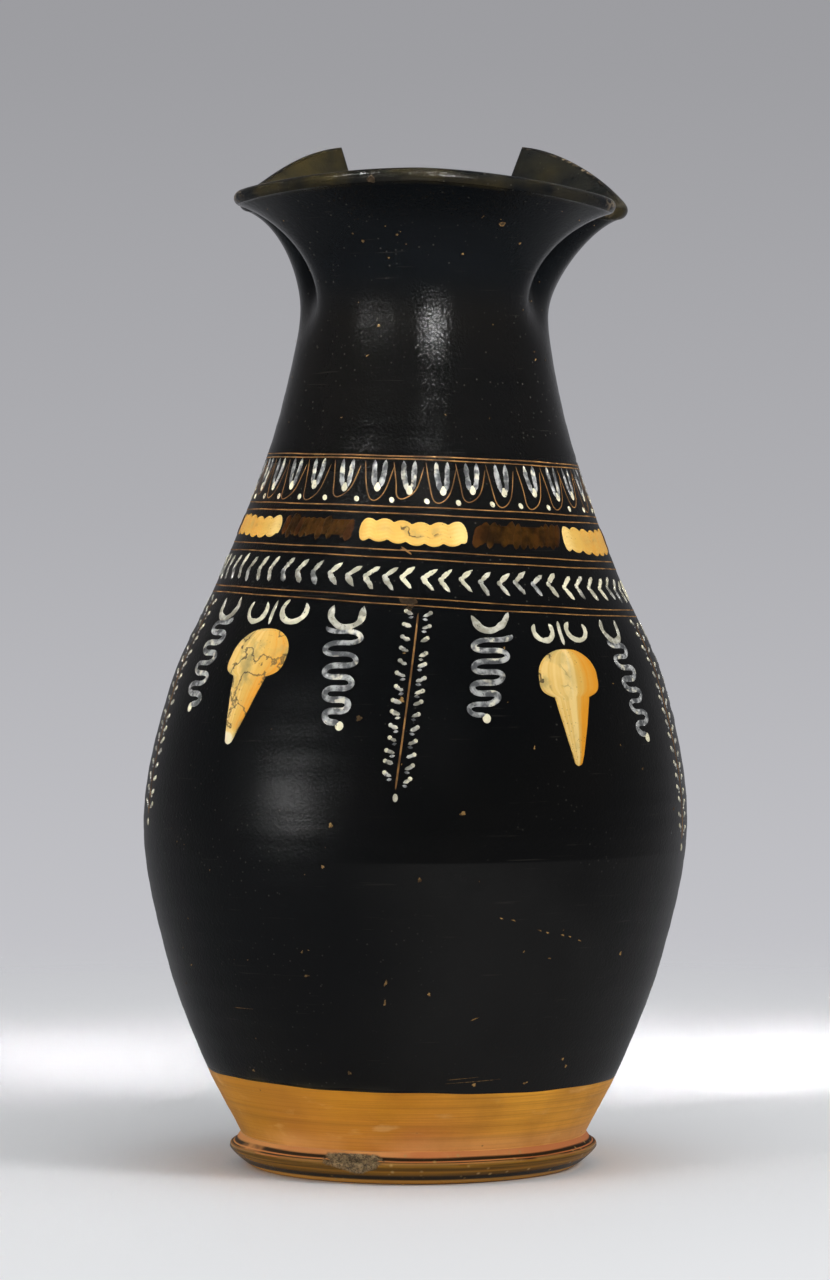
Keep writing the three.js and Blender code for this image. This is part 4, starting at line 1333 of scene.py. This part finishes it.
# Marks that are plain in the photograph: degrees, height, length, breadth, turn, how dark.
PLAIN_MARKS = [
    (-1.9, 137.5, 1.3, 1.6, 0.2, 0.2), (-11.0, 132.4, 1.7, 1.7, 0.0, 0.9),
    (-15.7, 103.0, 1.2, 1.4, 0.3, 0.3), (4.8, 55.9, 0.8, 1.1, 0.2, 0.1),
    (-4.8, 59.1, 0.7, 2.1, -0.4, 0.4), (-22.9, 60.6, 1.7, 0.6, 0.2, 0.5),
    (15.6, 48.6, 2.6, 0.25, 0.4, 0.2), (54.0, 65.0, 1.0, 1.2, 0.0, 0.1),
    (-17.4, 91.5, 0.9, 0.9, 0.0, 0.1), (2.4, 88.1, 1.1, 1.3, 0.0, 0.5), (10.9, 106.4, 1.7, 1.1, 0.3, 0.4),
    (-43.0, 50.0, 8.0, 0.16, 0.0, 0.5), (18.0, 30.4, 15.0, 0.18, 0.06, 0.5),
    (14.0, 31.3, 9.0, 0.14, 0.08, 0.5), (-15.2, 32.9, 1.0, 1.2, 0.5, 0.5),
    (17.6, 29.4, 1.1, 1.1, 0.0, 0.1), (32.6, 29.2, 1.6, 0.6, 0.3, 0.2), (43.0, 35.4, 0.9, 0.9, 0.0, 0.1),
    (45.0, 33.2, 0.8, 1.1, 0.0, 0.2), (-46.0, 31.5, 1.0, 0.8, 0.0, 0.3),
]
FLECKS_ON_BODY = 170
FLECKS_ON_NECK = 60


def add_knot(broken):
    """Dark knot in the gloss, on the lowest pair of rings and near its middle."""
    fleck(broken, -1.1, 164.5, 5.4, 2.9, -0.2, rim=0.93, core=1.0)
    fleck(broken, -1.3, 162.2, 2.2, 1.8, 0.9, rim=0.9, core=0.97)


def add_broken_scratch(broken, rng):
    """Scratch low on the right that shows only as a row of short losses."""
    for share in (0.0, 0.14, 0.46, 0.56, 0.76, 0.86, 1.0):
        fleck(broken, lerp(19.7, 39.5, share), lerp(77.1, 69.7, share) + 0.4 * math.sin(9 * share),
              rng.uniform(0.9, 1.9), rng.uniform(0.3, 0.5), -0.35, rim=rng.uniform(0.2, 0.6))


def scatter_on_body(broken, rng):
    for _ in range(FLECKS_ON_BODY):
        phi = rng.uniform(-180, 180)
        z = rng.uniform(36, 240)
        if 157 < z < 210 and rng.uniform() < 0.7:
            continue
        size = 0.3 + 0.6 * rng.uniform() ** 3
        fleck(broken, phi, z, size * rng.uniform(1.0, 2.4), size * 0.7, rng.uniform(0, math.pi),
              rim=rng.uniform(0.1, 0.8))


def scatter_on_neck(broken, rng):
    for _ in range(FLECKS_ON_NECK):
        size = 0.15 + 0.4 * rng.uniform() ** 2
        point, normal = neck_face(rng.uniform(-180, 180), rng.uniform(0.9, 1.93), 0.0)
        round_flaw(broken, point, normal, size, ((1.0, -0.03, 0.7), (0.7, 0.05, 0.3), (0.05, 0.05, 0.3)))


def add_neck_flaws(broken):
    """Round loss on the right of the mouth's front, and the dark flaw in its lip."""
    point, normal = neck_face(29.2, 1.63, 0.0)
    round_flaw(broken, point, normal, 1.0, ((1.0, -0.03, 0.6), (0.8, 0.05, 0.3), (0.5, 0.03, 1.0),
                                            (0.05, 0.03, 0.9)))
    point, normal = neck_face(-14.3, 2.0, -62)
    round_flaw(broken, point, normal, 1.25, ((1.0, -0.35, 1.0), (0.9, 0.10, 1.0), (0.72, 0.14, 0.93),
                                             (0.6, 0.02, 1.0), (0.05, 0.05, 0.96)))


def make_flecks():
    """Losses and grit in the gloss: a few that are plain in the photograph, the rest scattered."""
    rng = np.random.default_rng(71)
    broken = Paint("rim")
    add_knot(broken)
    for phi, z, length, breadth, turn, rim in PLAIN_MARKS:
        fleck(broken, phi, z, length, breadth, turn, rim=rim, core=0.9 * rim)
    add_broken_scratch(broken, rng)
    scatter_on_body(broken, rng)
    scatter_on_neck(broken, rng)
    add_neck_flaws(broken)
    broken.make("flecks_in_gloss", BROKEN)


def neck_face(degrees, s, tip):
    """Point and normal on the neck's outside, or on the lip with its tip in degrees from the top."""
    point, out, up = neck_frame(np.array(math.radians(degrees)), s)
    if s < 2:
        normal = out
        point = point + NECK_WALL / 2 * normal
    else:
        normal = up * math.cos(math.radians(tip)) - out * math.sin(math.radians(tip))
        point = point + LIP_R * normal
    point[0] += float(lean(point[2]))
    return point, normal


def round_flaw(broken, middle, normal, radius, rings):
    """Round loss made of rings, each given as (share of the radius, lift, how dark)."""
    side = unit(np.cross(normal, [0, 0, 1.0]))
    rise = np.cross(side, normal)
    a = np.linspace(0, TAU, 25)[:, None]
    uneven = 1 + 0.12 * np.sin(3 * a + middle[0]) + 0.1 * np.sin(5 * a + middle[2])
    grid = [middle + radius * share * uneven * (side * np.cos(a) + rise * np.sin(a) * 0.9) + normal * lift
            for share, lift, _ in rings]
    broken.add_grid(np.array(grid), rim=np.array([np.full(len(a), dark) for _, _, dark in rings]))


# Studio

EYE_HEIGHT = 174.7
EYE_DISTANCE = 1314.5
VIEW_TURN = 1.5
EYE_SHIFT = 0.47
LENS = 126.6
PITCH = 0.954
SHINE_LEVEL = 0.9
SHINE_IN_FRONT = 0.26
SHINE_AT_LEFT = 0.72
FILL_LEVEL = 0.45
FILL_COLOR = (0.96, 0.98, 1.0, 1)
# Backdrop as (share of the way up from straight down, grey)
BACKDROP_GREYS = [(0.0, 0.60), (0.45, 0.58), (0.4625, 0.54), (0.507, 0.43), (0.556, 0.345), (0.75, 0.2),
                  (1.0, 0.12)]
FLOOR_LEVEL = -0.00005
FLOOR_RADII = [0.0005, 0.2, 0.4, 0.6, 0.8, 1.0]
FLOOR_SIDES = 96
FLOOR_COLOR = (0.80, 0.803, 0.815)
FLOOR_IN_GLOSS = (0.40, 0.40, 0.41)

# Lamps: name, azimuth, elevation, distance, width, height, watts, height of aim, spread, seen in the gloss.
# The first three light the jug; the narrow ones are the windows and glints that its gloss shows.
LAMPS = [
    ("key", 52, 34, 1.9, 0.42, 0.42, 14, 0.16, 180, False),
    ("second", -48, 36, 1.9, 0.6, 0.6, 4.0, 0.16, 180, False),
    ("overhead", 10, 78, 1.5, 0.9, 0.9, 9.4, 0.16, 180, False),
    ("lip_right", 7, 45, 1.5, 0.5, 0.12, 0.14, 0.29, 6, True),
    ("lip_left", -50, 45, 1.5, 0.35, 0.12, 0.12, 0.29, 6, True),
    ("window_top", 11, 5, 1.5, 0.3, 0.05, 0.030, 0.243, 9, True),
    ("window_right", 10, 11, 1.5, 0.075, 0.085, 0.041, 0.243, 9, True),
    ("window_left", -33, 8, 1.5, 0.03, 0.16, 0.006, 0.243, 9, True),
    ("window_far_left", -51, 8, 1.5, 0.11, 0.22, 0.055, 0.085, 9, True),
]


def make_camera():
    data = bpy.data.cameras.new("camera")
    data.sensor_fit = "VERTICAL"
    data.sensor_height = 36
    data.lens = LENS
    data.clip_start = 0.05
    camera = bpy.data.objects.new("camera", data)
    turn = math.radians(VIEW_TURN)
    right = Vector((math.cos(turn), math.sin(turn), 0))
    back = Vector((math.sin(turn), -math.cos(turn), 0))
    camera.location = (back * EYE_DISTANCE + right * EYE_SHIFT + Vector((0, 0, EYE_HEIGHT))) * MM
    camera.rotation_euler = (math.radians(90 - PITCH), 0, turn)
    bpy.context.scene.collection.objects.link(camera)
    bpy.context.scene.camera = camera


def make_light(name, azimuth, elevation, distance, width, height, power, aim_z, spread, shine):
    """Area lamp aimed at the jug; azimuth is 0 at the camera's side and grows to the right."""
    turn, rise = math.radians(azimuth), math.radians(elevation)
    way = Vector((math.sin(turn) * math.cos(rise), -math.cos(turn) * math.cos(rise), math.sin(rise)))
    data = bpy.data.lights.new(name, "AREA")
    data.shape = "RECTANGLE"
    data.size = width
    data.size_y = height
    data.energy = power
    data.spread = math.radians(spread)
    light = bpy.data.objects.new(name, data)
    light.location = Vector((0, 0, aim_z)) + way * distance
    light.rotation_euler = (-way).to_track_quat("-Z", "Y").to_euler()
    light.visible_glossy = shine
    bpy.context.scene.collection.objects.link(light)


def set_stops(ramp, stops):
    while len(ramp.elements) < len(stops):
        ramp.elements.new(0.5)
    for element, (position, grey) in zip(ramp.elements, stops):
        element.position = position
        element.color = (grey * 0.985, grey * 0.985, grey * 1.04, 1)


def make_world():
    """Pale backdrop that darkens upwards; the gloss sees it dimmed, as in a room kept dark."""
    world = bpy.data.worlds.new("studio")
    n = Nodes("studio", world)
    n.tree.nodes.clear()
    way = n.node("ShaderNodeSeparateXYZ", {0: n.node("ShaderNodeTexCoord").outputs["Generated"]}).outputs
    ramp = n.node("ShaderNodeValToRGB", {"Fac": n.span(way["Z"], 0, 1)})
    set_stops(ramp.color_ramp, BACKDROP_GREYS)
    seen = ramp.outputs["Color"]
    dimmed = n.math("MULTIPLY", n.span(way["Y"], SHINE_IN_FRONT * SHINE_LEVEL, SHINE_LEVEL),
                    n.span(way["X"], SHINE_AT_LEFT, 1))
    backdrop = n.node("ShaderNodeBackground", {"Color": seen}).outputs[0]
    shine = n.node("ShaderNodeBackground", {"Color": seen, "Strength": dimmed}).outputs[0]
    fill = n.node("ShaderNodeBackground", {"Color": FILL_COLOR, "Strength": FILL_LEVEL}).outputs[0]
    rays = n.node("ShaderNodeLightPath").outputs
    clear = n.math("MAXIMUM", rays["Is Camera Ray"], rays["Is Transmission Ray"])
    lit = n.node("ShaderNodeMixShader", {0: rays["Is Glossy Ray"], 1: fill, 2: shine}).outputs[0]
    both = n.node("ShaderNodeMixShader", {0: clear, 1: lit, 2: backdrop}).outputs[0]
    n.node("ShaderNodeOutputWorld", {0: both})
    bpy.context.scene.world = world


def make_floor():
    """Pale table that fades into the backdrop away from the jug."""
    turns = np.linspace(0, TAU, FLOOR_SIDES, endpoint=False)
    points = [(r * math.cos(a), r * math.sin(a), FLOOR_LEVEL) for r in FLOOR_RADII for a in turns]
    faces = grid_faces(len(FLOOR_RADII), FLOOR_SIDES) + [tuple(range(FLOOR_SIDES))[::-1]]
    mesh = bpy.data.meshes.new("floor")
    mesh.from_pydata(points, [], faces)
    n = Nodes("floor")
    away = n.node("ShaderNodeVectorMath", {0: n.place()}, operation="LENGTH").outputs["Value"]
    n.feed(n.shader.inputs["Alpha"], n.ramp(away, 0.85, 0.30))
    in_gloss = n.node("ShaderNodeLightPath").outputs["Is Glossy Ray"]
    mesh.materials.append(n.finish(n.mix(in_gloss, FLOOR_COLOR, FLOOR_IN_GLOSS), 0.6, specular=0.2))
    floor = bpy.data.objects.new("floor", mesh)
    bpy.context.scene.collection.objects.link(floor)


def make_studio():
    make_camera()
    make_world()
    make_floor()
    for lamp in LAMPS:
        make_light(*lamp)
    bpy.context.scene.view_settings.view_transform = "Standard"


make_studio()
make_body()
make_neck()
make_foot()
make_layers()
make_handle()
make_lower_seat()
make_upper_seat()
make_ornament()
make_flecks()
